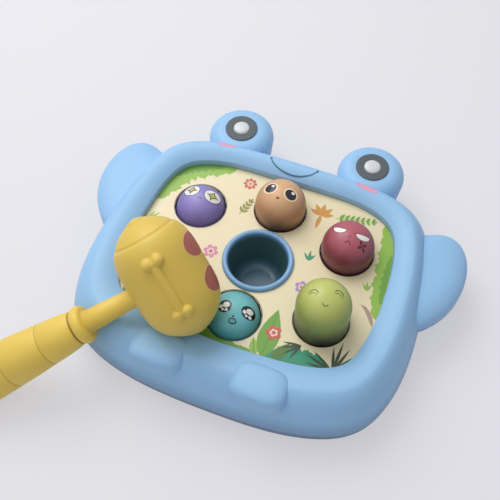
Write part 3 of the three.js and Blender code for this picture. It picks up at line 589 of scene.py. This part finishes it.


# Tray: the bottom shell, in a blue darkened as painted shade. Its wall shows as a band under the seam, and the
# underside has the screw wells, four rubber feet and a resting pad. A smooth band covers the facets of the tray's
# wall.
# Painted shade: the tray's blue is darker than the frame's and stands in for the shade in the band under the seam.
tray_blue = moulded("tray_blue", (74, 104, 136), gloss=0.55, tone=0.06, grain=0.3)
dress("bottom_shell", tray_blue)
tray_slope, tray_base, tray_top, tray_lip = 4.0 * MM, 1.5 * MM, 8.1 * MM, 2.6 * MM
band_steps = ((1, 0.01), (0.7, 0.04), (0.42, 0.12), (0.22, 0.25), (0.1, 0.5), (0.04, 0.75), (0, 1))
band_rows = [(edge_undercut + tray_slope * share, 0, tray_base + (tray_top - tray_base) * height)
             for share, height in band_steps]
band_rows.append((edge_undercut + tray_lip, 0, tray_top))
tray_band = woven("tray_band", ring_surface(band_rows), [tray_blue], upward=-1)
foot_rubber = moulded("foot_rubber", (52, 54, 58), gloss=0.85, tone=0.15, grain=0.5)
for number in range(1, 5):
    dress(f"rubber_foot_{number}", foot_rubber)


# Deck: a cream printed sheet over a moulded plate. Each hole is punched clean, with a thin dark ring round it as
# painted shade for the gap where the head sits.
deck_cream = moulded("deck_cream", (214, 204, 170), gloss=0.45, tone=0.03)
dress("deck_plate", deck_cream)
print_ground = moulded("print_ground", (236, 222, 182), gloss=0.4, tone=0.04, grain=0.06, coat=0.1)
hole_radius, cup_hole_radius = 17.9 * MM, 22.3 * MM
moles = {}
for name in ("purple", "orange", "red", "pink", "teal", "green"):
    low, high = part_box(f"mole_{name}_head")
    moles[name] = Vector(((low.x + high.x) / 2, (low.y + high.y) / 2, high.z))
cup_low, cup_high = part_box("centre_cup")
cup_rim_radius = (cup_high.x - cup_low.x) / 2
sheet_thickness, sheet_gap = 0.4 * MM, 0.15 * MM
sheet_curve = bpy.data.curves.new("printed_sheet", "CURVE")
sheet_curve.dimensions = "2D"
sheet_curve.fill_mode = "BOTH"
sheet_curve.extrude = sheet_thickness / 2
outlines = [moved_in(opening_loop, sheet_gap), oval(0, 0, cup_hole_radius, cup_hole_radius, count=96)]
outlines += [oval(place.x, place.y, hole_radius, hole_radius, count=96) for place in moles.values()]
for outline in outlines:
    spline, count = sheet_curve.splines.new("POLY"), len(outline)
    spline.points.add(count - 1)
    spline.points.foreach_set("co", np.column_stack([outline, np.zeros(count), np.ones(count)]).ravel())
    spline.use_cyclic_u = True
sheet_draft = new_object("sheet_draft", sheet_curve)
bpy.context.view_layer.update()
sheet_mesh = bpy.data.meshes.new_from_object(sheet_draft)
bpy.data.objects.remove(sheet_draft)
sheet_mesh.transform(Matrix.Translation((0, 0, deck_level - sheet_thickness / 2)))
sheet_mesh.materials.clear()
sheet_mesh.materials.append(print_ground)
printed_sheet = new_object("printed_sheet", sheet_mesh)
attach(printed_sheet, "board")
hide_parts("deck_print")


# The sheet's print: washes of green along the edge, leaves, grasses and small flowers, each a flat layer of ink a
# few hundredths of a millimetre above the one below. The motifs and their places were made up for this model.
ink_tones = {
    "meadow": (148, 188, 74), "leaf": (112, 164, 60), "moss": (84, 124, 54), "lagoon": (56, 146, 112),
    "olive": (146, 142, 62), "coral": (206, 92, 74), "rose": (216, 136, 168), "pale": (236, 208, 204),
    "amber": (208, 146, 62), "bark": (178, 150, 130), "night": (52, 68, 50), "lilac": (176, 140, 198),
    "edge": (62, 58, 66),
}
inks = {name: moulded(f"ink_{name}", colour, gloss=0.42, tone=0.08, grain=0.04)
        for name, colour in ink_tones.items()}
leaf_step, stem_width, vein_width = 0.012, 0.55, 0.4
wash_margin = 0.3 * MM


def leaf(x, y, length, width, degrees, count=22):
    """Pointed leaf from its root: its half width is a sine of the way along, fuller towards the root."""
    share = np.linspace(0, 1, count)
    half = width / 2 * np.sin(np.pi * share**0.8)
    upper = np.column_stack([share * length, half])
    lower = np.column_stack([share * length, -half])[::-1][1:-1]
    return turned_flat(np.vstack([upper, lower]), degrees, x, y)


def blossom(x, y, radius, petals, depth, degrees=0.0, count=96):
    """Flower outline: its radius swells once for each petal."""
    angles = full_turn(count)
    reach = radius * (1 - depth + depth * np.abs(np.cos(petals / 2 * angles)) ** 0.6)
    return turned_flat(polar(reach, angles), degrees, x, y)


def flower(x, y, radius, petals, degrees, petal_ink, heart_ink, level=0.05):
    """Layers of a flower: petals, a paler ring and a heart."""
    return [
        filled(blossom(x, y, radius, petals, 0.45, degrees), inks[petal_ink], level),
        filled(blossom(x, y, 0.52 * radius, petals, 0.3, degrees), inks["pale"], level + 0.03),
        filled(oval(x, y, 0.24 * radius, 0.24 * radius), inks[heart_ink], level + 0.06),
    ]


def sprig(x, y, length, degrees, pairs, leaf_length, leaf_width, lean, ink, level=0.05):
    """Layers of a stem with pairs of leaves that lean forward and get shorter to its tip."""
    root, way, ink = np.array([x, y]), polar(1, np.radians(degrees)), inks[ink]
    layers = [stroke(root + np.linspace(0, length, 24)[:, None] * way, stem_width, ink, level)]
    for step in range(pairs):
        share = (step + 1) / (pairs + 0.4)
        size = 1 - 0.4 * share
        place = root + way * length * share
        layers += [filled(leaf(*place, leaf_length * size, leaf_width * size, degrees + side * lean),
                          ink, level + leaf_step * (2 * step + 1 + (side > 0))) for side in (-1, 1)]
    tip = leaf(*(root + way * length * 0.96), 0.6 * leaf_length, 0.6 * leaf_width, degrees)
    layers.append(filled(tip, ink, level + 0.15))
    return layers


def tuft(x, y, blades, ink, level=0.05):
    """Layers of a tuft of grass or of a leaf: (direction, length, width) blades from one root."""
    return [filled(leaf(x, y, length, width, degrees), inks[ink], level + leaf_step * step)
            for step, (degrees, length, width) in enumerate(blades)]


def edge_wash(start, stop, depth, ripple, ink, level):
    """Wash along the opening between two of its points: the inner edge ripples by a sum of three sines."""
    places = np.arange(start, stop) % ring_points
    share = np.linspace(0, 1, len(places))
    waves = 1 + ripple * (np.sin(41 * share) + 0.7 * np.sin(97 * share + 1) + 0.5 * np.sin(173 * share))
    reach = depth * np.sin(np.pi * share) ** 0.45 * waves * MM
    near = moved_in(opening_loop, wash_margin)[places]
    inwards = (moved_in(opening_loop, MM) - opening_loop)[places] / MM
    rows = np.linspace(0, 1, 5)[:, None, None]
    return [((near + inwards * reach[:, None] * rows) / MM, inks[ink], False, level)]


def veined_leaf(x, y, length, width, degrees, ink, level, vein_level):
    """Layers of a leaf and its middle line."""
    line = np.array([x, y]) + np.linspace(0.06, 0.9, 20)[:, None] * length * polar(1, np.radians(degrees))
    return [filled(leaf(x, y, length, width, degrees), inks[ink], level),
            stroke(line, vein_width, inks["moss"], vein_level)]


def on_deck(flat, height):
    """Flat points on the sheet, raised by a height. Those in a hole move out to its edge."""
    for middle in moles.values():
        away = flat - (middle.x, middle.y)
        reach = np.linalg.norm(away, axis=1, keepdims=True)
        moved = away * (hole_radius / np.maximum(reach, 0.1 * MM)) + (middle.x, middle.y)
        flat = np.where(reach < hole_radius, moved, flat)
    return np.column_stack([flat, np.full(len(flat), deck_level + height)])


twig = np.array([(72.5, -6.5), (76, -8.2), (79.5, -11.5), (82.6, -16.4), (84.2, -20)])
motifs = (
    edge_wash(40, 104, 11.5, 0.11, "meadow", 0.03) + edge_wash(48, 84, 5.5, 0.16, "leaf", 0.06)
    + edge_wash(346, 413, 9.5, 0.09, "meadow", 0.03) + edge_wash(356, 390, 4.2, 0.14, "leaf", 0.06)
    + edge_wash(206, 250, 9, 0.05, "leaf", 0.03) + edge_wash(240, 262, 4, 0.04, "leaf", 0.06)
    + edge_wash(264, 302, 12.5, 0.08, "lagoon", 0.03)
    + flower(-27.5, 57, 4.9, 8, 12, "coral", "amber")
    + sprig(-25.5, 29.5, 14, 74, 4, 5.6, 2.3, 44, "olive")
    + tuft(27.5, 49.5, [(18, 9, 3.4), (52, 10, 3.6), (90, 10, 3.6), (128, 10, 3.6), (162, 9, 3.4), (268, 12, 3)],
           "amber")
    + sprig(37, 50.5, 27, 14, 7, 5.8, 2.6, 52, "leaf")
    + tuft(31, 12, [(60, 7, 1.7), (95, 8.5, 1.8), (130, 7, 1.7), (78, 5, 1.3)], "lagoon")
    + flower(33.5, -8.5, 4.6, 5, 20, "lilac", "amber")
    + flower(-32, -4.5, 5.2, 6, 0, "rose", "coral")
    + tuft(-82.5, 4, [(12, 9, 1.6), (32, 11, 1.7), (52, 10, 1.6), (75, 8, 1.5)], "meadow")
    + tuft(-82, -12, [(-8, 8, 1.5), (14, 10, 1.6), (36, 9, 1.5)], "leaf")
    + veined_leaf(26.5, -64, 35, 13.5, 92, "leaf", 0.1, 0.13)
    + veined_leaf(22, -64.5, 13, 5.6, 112, "meadow", 0.075, 0.09)
    + tuft(33, -64, [(66, 17, 7)], "moss", 0.075)
    + flower(28, -45.5, 5.2, 5, 50, "coral", "coral", 0.2)
    + tuft(70, -57, [(38, 12, 1.7), (56, 16, 1.8), (72, 19, 1.9), (88, 21, 1.9), (104, 16.5, 1.9), (148, 17, 1.7),
                         (164, 20, 1.8), (180, 18, 1.6)], "night", 0.12)
    + tuft(47, -47.5, [(188, 12, 1.6), (206, 13, 1.7), (226, 13, 1.7), (248, 12, 1.6)], "night", 0.12)
    + [stroke(twig, 4.2, inks["bark"], 0.06)]
    + tuft(73.5, 4, [(100, 7, 1.8), (130, 6, 1.6), (70, 6, 1.6)], "meadow")
    + sprig(-74, -56, 12, 62, 3, 6, 2.6, 46, "moss")
    + flower(-62, -55, 4.4, 6, 10, "rose", "amber", 0.08)
)
# Painted shade: a thin dark ring round each hole, in the edge ink, stands in for the shade in the gap round the head.
hole_shade_width, hole_shade_height = 0.45, 0.3
for place in moles.values():
    edges = [oval(place.x / MM, place.y / MM, reach, reach, count=120)
             for reach in (hole_radius / MM, hole_radius / MM + hole_shade_width)]
    motifs.append((np.stack(edges), inks["edge"], True, hole_shade_height))
deck_motifs = printed("deck_motifs", motifs, on_deck)


# Cup: a deep blue bowl with a rolled rim in the middle of the deck, pressed into the hole so its rim lies on the
# print. Its colour is painted light and shade by height: the rim has the frame's blue, painted lighter at its top,
# the inside is painted a dark slate blue for the shade in the bowl, and the floor a little paler as reflected light.
rim_high = cup_high.z
cup_wall, rim_tuck, rim_depth = 2 * MM, 0.6 * MM, 4 * MM
rim_inner, cup_throat, floor_radius, floor_round = 20 * MM, 17.6 * MM, 17 * MM, 7 * MM
throat_rise, rim_half = 1.6 * floor_round, (cup_rim_radius - rim_inner) / 2
cup_floor = cup_low.z + cup_wall
cup_profile = np.vstack([
    [(rim_inner + cup_wall, deck_level), (cup_rim_radius, deck_level)],
    arc(1, 24, 0, 180) * (rim_half, rim_high - deck_level) + (rim_inner + rim_half, deck_level),
    [(rim_inner - rim_tuck, deck_level - rim_depth), (cup_throat, cup_floor + throat_rise)],
    arc(floor_round, 12, 0, -90) + (floor_radius - floor_round, cup_floor + floor_round),
    [(0, cup_floor)],
])
# Painted light and shade by height: darker inside the bowl, paler at its floor, lighter at the top of the rim.
cup_blue = graded("cup_blue", cup_low.z, rim_high, [
    (0, (84, 122, 144)), (0.3, (68, 106, 108)), (0.84, (64, 100, 100)), (0.915, (96, 138, 178)), (1, (134, 178, 222)),
], gloss=0.4, grain=0.08, coat=0.1)
cup = turned("cup_bowl", cup_profile, (0, 0), cup_blue, around=160)
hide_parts("centre_cup")


# Mole heads: glossy hollow domes on short skirts, each of one colour, with a face printed on its top. Each colour is
# painted darker towards the base and lighter towards the top as light and shade, and some heads have painted shade at
# the foot on the camera's side. They turn a quarter as they pass each notch, on carriers, springs and spiral posts
# under the deck.
head_radius, head_wall = 17.3 * MM, 1.8 * MM
print_reach = 0.97 * head_radius
skirt_inner, skirt_edge = 15.0 * MM, 0.4 * MM
# Each head: (a darker tone painted as shade at the base, its own colour, a lighter tone painted as light at the top).
head_painted_light_tones = {
    "purple": ((88, 76, 136), (112, 100, 172), (150, 138, 204)),
    "orange": ((101, 77, 63), (186, 138, 102), (220, 174, 128)),
    "red": ((88, 35, 43), (131, 55, 66), (180, 90, 103)),
    "pink": ((180, 110, 124), (222, 150, 166), (240, 178, 190)),
    "teal": ((58, 112, 118), (84, 164, 170), (122, 200, 206)),
    "green": ((91, 103, 55), (150, 163, 80), (196, 203, 110)),
}
head_low_share, head_middle_share = 0.3, 0.66
pen_tones = {
    "black": (28, 26, 34), "white": (244, 244, 240), "cream": (246, 226, 190), "dark_red": (86, 22, 32),
    "squint": (92, 96, 40), "olive": (196, 192, 96), "teal": (96, 176, 182),
}
pens = {name: moulded(f"ink_{name}", colour, gloss=0.25 if name == "black" else 0.3, tone=0.02, grain=0.02)
        for name, colour in pen_tones.items()}


def four_point_star(x, y, reach, pinch=0.6, count=64):
    """Star with four points: the radius falls from the reach at each quarter turn to a pinched share of it."""
    angles = full_turn(count)
    radius = reach / (np.abs(np.cos(angles)) ** pinch + np.abs(np.sin(angles)) ** pinch) ** (1 / pinch)
    return polar(radius, angles) + (x, y)


def half_moon(x, y, width, height, lid_degrees, lid_share=0.12):
    """Lower part of an ellipse under a straight lid, turned by an angle."""
    outline = oval(0, 0, width / 2, height, count=60)
    outline[:, 1] = np.minimum(outline[:, 1], lid_share * height)
    return turned_flat(outline, lid_degrees, x, y)


def dot(x, y, half_x, half_y, pen, height=0.04, degrees=0.0):
    """Layer of an oval of a pen's ink."""
    return filled(oval(x, y, half_x, half_y, degrees), pens[pen], height)


def bow(x, y, width, height, thickness, pen):
    """Layer of a shallow arch drawn with a pen."""
    share = np.linspace(-1, 1, 20)
    path = np.stack([x + share * width / 2, y - height * share**2], axis=1)
    return stroke(path, thickness, pens[pen], 0.04)


def star_eyes():
    """Round white eyes with a dark edge and an olive four-pointed star in each, over a small arched mouth."""
    layers = []
    for x, y in ((-7.2, 3.4), (7.8, 3.8)):
        layers += [
            dot(x, y, 5.7, 5.4, "black"), dot(x, y, 5.35, 5.05, "white", 0.08),
            filled(four_point_star(x, y, 4.7), pens["black"], 0.12),
            filled(four_point_star(x, y, 3.3), pens["olive"], 0.16),
        ]
    return layers + [bow(0.8, -1.2, 3.0, 1.5, 0.45, "black")]


def glossy_eyes():
    """Black eyes with a cream ring and one white glint in each, and a tiny mouth."""
    layers = []
    for x, y in ((-7.3, -0.3), (6.8, -0.8)):
        layers += [dot(x, y, 4.7, 4.6, "cream"), dot(x + 0.1, y - 0.1, 3.7, 3.7, "black", 0.08),
                   dot(x + 1.1, y + 1.5, 1.1, 1.0, "white", 0.12)]
    return layers + [dot(-0.2, -6.6, 1.0, 0.7, "dark_red")]


def cross_eyes():
    """White half-moon eyes under slanting lids, a nose dot, a small frown and a cross mark on the cheek."""
    layers = []
    for x, y, wide, slope in ((-7.4, 1.6, 8.4, -12), (7.8, 1.4, 9.0, 17)):
        layers += [filled(half_moon(x, y + 0.5, wide + 1.4, 4.0, slope), pens["dark_red"], 0.04),
                   filled(half_moon(x, y, wide, 3.2, slope), pens["white"], 0.08)]
    layers += [dot(0.1, -3.1, 0.45, 0.45, "dark_red"), bow(0.2, -6.2, 4.0, 2.1, 0.6, "dark_red")]
    return layers + [dot(9.5 + 1.3 * across, -5.1 + 1.3 * up, 1.5, 0.8, "dark_red", degrees=tilt)
                     for across, up, tilt in ((-1, 1, 135), (1, 1, 45), (-1, -1, 45), (1, -1, 135))]


def sparkle_eyes():
    """Black eyes full of round white sparkles, a nose dot and a small open mouth."""
    layers = []
    for x, y in ((-5.0, -1.2), (9.9, 0.5)):
        layers.append(dot(x, y, 4.4, 4.3, "black"))
        layers += [dot(x + across, y + up, half_x, half_y, "white", 0.08) for across, up, half_x, half_y in (
            (0.6, 0.9, 2.1, 2.0), (-2.2, -0.9, 1.2, 1.2), (1.8, -2.3, 1.1, 1.0), (-0.5, -2.6, 0.9, 0.8))]
    return layers + [dot(2.4, -6.0, 0.7, 0.6, "black"), dot(2.8, -8.6, 2.7, 1.7, "black", degrees=10),
                     dot(2.8, -8.6, 2.0, 1.05, "teal", 0.08, 10)]


def squint_eyes():
    """Two arched shut eyes and a small smile in a darker tone."""
    layers = [bow(x, y, 6.4, 2.6, 0.7, "squint") for x, y in ((-7.0, 0.4), (7.4, 5.4))]
    layers += [bow(x, y, 5.4, 1.6, 0.45, "squint") for x, y in ((-7.0, -1.8), (7.4, 3.0))]
    return layers + [bow(1.7, -7.6, 4.0, -1.5, 0.6, "squint")]


faces = {
    "purple": star_eyes(), "orange": glossy_eyes(), "red": cross_eyes(),
    "pink": squint_eyes(), "teal": sparkle_eyes(), "green": squint_eyes(),
}
foot_aside = Vector((np.sin(azimuth), -np.cos(azimuth), 0))
foot_shade = {"orange": 0.8, "green": 0.92, "red": 0.3}
foot_reach, foot_rise = 14 * MM, 2 * MM


def shade_foot(material, centre, strength):
    """Darkens a head's colour towards a point at its foot: smooth from the full strength there to none at a reach."""
    tree = material.node_tree
    place, colour = tree.nodes["place"].outputs["Object"], tree.nodes["ramp"].outputs["Color"]
    away = add_node(tree, "VectorMath", {0: place, 1: centre}, operation="DISTANCE")
    fade = add_node(tree, "MapRange", {
        "Value": away.outputs["Value"], "From Max": foot_reach, "To Min": 1 - strength,
    }, interpolation_type="SMOOTHSTEP")
    darker = add_node(tree, "VectorMath", {0: colour, "Scale": fade.outputs["Result"]}, operation="SCALE")
    feed(tree, tree.nodes["marks"], {"Colour": darker.outputs[0]})


insides = {
    "carrier": moulded("carrier_white", (222, 225, 229), gloss=0.5, tone=0.03, grain=0.2),
    "post": moulded("post_white", (230, 226, 216), gloss=0.45, tone=0.04, grain=0.2),
    "spring": moulded("spring_steel", (186, 188, 192), gloss=0.28, tone=0.08, grain=0.3, metal=1.0),
}
for name, apex in moles.items():
    low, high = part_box(f"mole_{name}_head")
    base, middle, top = head_painted_light_tones[name]
    # Painted light and shade: the head's colour is graded from its darker base tone to its lighter top tone.
    head_plastic = graded(f"mole_{name}", low.z, high.z, [
        (0, base), (head_low_share, base), (head_middle_share, middle), (1, top),
    ], gloss=0.42, grain=0.06, coat=0.05)
    shadow = Vector((apex.x, apex.y, max(low.z, deck_level) + foot_rise)) + foot_aside * head_radius
    shade_foot(head_plastic, shadow, foot_shade.get(name, 0.0))
    centre_z = apex.z - head_radius
    head_profile = np.vstack([
        [(skirt_inner, low.z), (head_radius - skirt_edge, low.z), (head_radius, low.z + skirt_edge)],
        arc(head_radius, 40) + (0, centre_z),
    ])
    head = turned(f"{name}_dome", head_profile, apex, head_plastic, f"head_{name}", 144)
    walled(head, head_wall)
    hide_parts(f"mole_{name}_head")

    def on_dome(flat, height, apex=apex, centre_z=centre_z):
        """Flat points dropped on the dome and raised along its normal by a height."""
        reach = np.minimum(np.linalg.norm(flat, axis=1), print_reach)
        radial = np.column_stack([flat, np.sqrt(head_radius**2 - reach**2)])
        return radial * (1 + height / head_radius) + (apex.x, apex.y, centre_z)

    face = printed(f"{name}_face", faces[name], on_dome, f"head_{name}")
    for part, material in insides.items():
        dress(f"mole_{name}_{part}", material)


# Screws: six from below hold the shells together, four hold the deck plate to the frame. They are plated steel.
screw_steel = moulded("screw_steel", (170, 172, 176), gloss=0.32, tone=0.1, grain=0.3, metal=1.0)
for kind, count in (("shell", 6), ("deck", 4)):
    for number in range(1, count + 1):
        dress(f"{kind}_screw_{number}", screw_steel)


# Hammer: a hollow moulded head with a cap pressed on one end, a bone in relief on its upper side, round spots on
# the side away from the handle, and a handle with a collar and a long tapered grip, all in yellow satin plastic. The
# handle's grooves and creases are painted in darker yellows as shade.
# Painted shade: the groove and crease yellows are darker copies of the grip's yellow for the handle's grooves.
yellows = (("hammer", (224, 192, 84), 0.46), ("grip", (236, 202, 88), 0.46), ("groove", (164, 134, 54), 0.55),
           ("crease", (212, 180, 79), 0.55))
hammer_yellow, *grip_yellows_with_painted_shade = (moulded(f"{name}_yellow", colour, gloss=gloss, tone=0.08, grain=0.2)
                                for name, colour, gloss in yellows)
spot_brown = moulded("spot_brown", (176, 96, 84), gloss=0.5)
spot_rim = moulded("spot_rim", (232, 200, 116), gloss=0.5)
hammer_place = Vector((-38.4, -50.3, 73.1)) * MM
hammer_turn = Matrix.Identity(3)
for degrees, axis in ((40.8, "Z"), (-22.25, "Y"), (42, "X")):
    hammer_turn = hammer_turn @ Matrix.Rotation(np.radians(degrees), 3, axis)
hammer_axes = np.array(hammer_turn)
hammer_radius, hammer_length = 25.15 * MM, 79.8 * MM
hammer_side, hammer_end = 4.1, 1.2
seam_place, seam_depth, seam_width = 28.4 * MM, 0.75 * MM, 0.75 * MM
cap_step, cap_blend = 0.45 * MM, 0.3 * MM
crease_place, crease_depth, pole_radius = -33.5 * MM, 0.25 * MM, 6 * MM
bone_angle = np.radians(97.8)
knob_radius, knob_aside, shaft_radius, relief_sink = 3.9 * MM, 3.2 * MM, 2.8 * MM, 0.2 * MM
bone_middle, bone_half = -1.7 * MM, 17.2 * MM
spot_angle, spot_half, spot_margin = np.radians(171), (10.6, 7.6), 0.7
spot_places = (11.0, -12.8)


def in_hammer(points):
    """Points of the hammer's own frame, handle along its negative X and head along Y, put in place."""
    return points @ hammer_axes.T + np.array(hammer_place)


def head_point(angle, along, raised=0.0):
    """Point on the head: a superellipse turned about Y with a groove at the cap's seam and a faint crease near the
    other end. Angle 0 is on the handle's side and 90 degrees on top."""
    share = np.clip(np.abs(2 * along / hammer_length), 0, 1)
    radius = hammer_radius * (1 - share**hammer_side) ** (1 / hammer_end)
    groove = seam_depth * np.exp(-(((along - seam_place) / seam_width) ** 2))
    crease = crease_depth * np.exp(-(((along - crease_place) / seam_width) ** 2))
    step = cap_step / (1 + np.exp(-(along - seam_place) / cap_blend))
    radius = np.maximum(radius - (groove + crease + step) * (radius > pole_radius), 0) + raised
    return np.stack(np.broadcast_arrays(-radius * np.cos(angle), along, radius * np.sin(angle)), axis=-1)


def bone_relief(angle, along):
    """Height of the bone over the head: four balls and a rod sunk in the surface, joined by a power sum."""
    aside = hammer_radius * (angle - bone_angle)
    heights = [np.sqrt(np.maximum(knob_radius**2 - (aside - side * knob_aside) ** 2
                                  - (along - bone_middle - end * bone_half) ** 2, 0))
               for side in (-1, 1) for end in (-1, 1)]
    inside = np.abs(along - bone_middle) < bone_half
    heights.append(np.sqrt(np.maximum(shaft_radius**2 - aside**2, 0)) * inside)
    return sum(np.maximum(height - relief_sink, 0) ** 4 for height in heights) ** 0.25


end_angle = np.linspace(-np.pi / 2, np.pi / 2, 241)
head_along = hammer_length / 2 * np.sin(end_angle)[:, None]
fine_from, fine_to = 78, 118  # degrees round the head, where the bone needs closer points
head_degrees = [np.linspace(fine_from, fine_to, 110), np.linspace(fine_to, fine_from + 360, 202)[1:-1]]
head_angle = np.radians(np.concatenate(head_degrees))[None, :]
head_grid = head_point(head_angle, head_along, bone_relief(head_angle, head_along))
hammer_skin = woven("hammer_skin", in_hammer(head_grid), [hammer_yellow], "hammer")
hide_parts("hammer_head", "hammer_cap")


def on_head(flat, height):
    """Flat points across and along the head from the middle of its spots, laid on its side."""
    return in_hammer(head_point(spot_angle + flat[:, 0] / hammer_radius, flat[:, 1], height))


spot_layers = []
for along in spot_places:
    rim = oval(0, along, spot_half[0] + spot_margin, spot_half[1] + spot_margin)
    spot_layers += [filled(rim, spot_rim, 0.06, 12), filled(oval(0, along, *spot_half), spot_brown, 0.14, 12)]
hammer_spots = printed("hammer_spots", spot_layers, on_head, "hammer")
handle_shift, handle_around = -1.6 * MM, 96
handle_profile = np.array([
    (0, 14), (5.8, 14), (5.8, 25), (7.3, 58), (8.6, 57.9), (10.6, 58.2), (11.8, 59.4), (12.2, 61.6), (11.9, 63.6),
    (11.2, 64.6), (10.0, 65.1), (10.0, 65.5), (10.9, 66.0), (11.8, 70), (12.8, 77), (13.6, 86.8), (13.2, 87.5),
    (13.0, 88), (13.3, 88.4), (13.8, 89.2), (14.9, 101), (15.8, 113.8), (15.4, 114.5), (15.2, 115), (15.5, 115.4),
    (16.0, 116.2), (16.9, 130), (17.5, 146.4), (17.3, 148.4), (16.0, 149.8), (14.4, 150), (7, 151.3), (0, 151.4),
]) * MM
# Creases: (place along the handle, half width, slot of the darker yellow painted there as shade), in millimetres.
handle_creases = ((65.1, 0.7, 1), (88, 0.4, 2), (115, 0.4, 2))
radius_sideways, radius_up, handle_along = np.moveaxis(turned_grid(handle_profile, handle_around), -1, 0)
handle_grid = np.stack([-handle_along, handle_shift + radius_sideways, radius_up], axis=-1)
face_place = handle_profile[quads(*handle_grid.shape[:2]) // handle_around, 1].mean(axis=1)
face_slots = sum(slot * (np.abs(face_place - along * MM) < half * MM) for along, half, slot in handle_creases)
handle = woven("hammer_grip", in_hammer(handle_grid), grip_yellows_with_painted_shade, "hammer", face_slots)
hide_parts("hammer_handle", "hammer_end_plug")
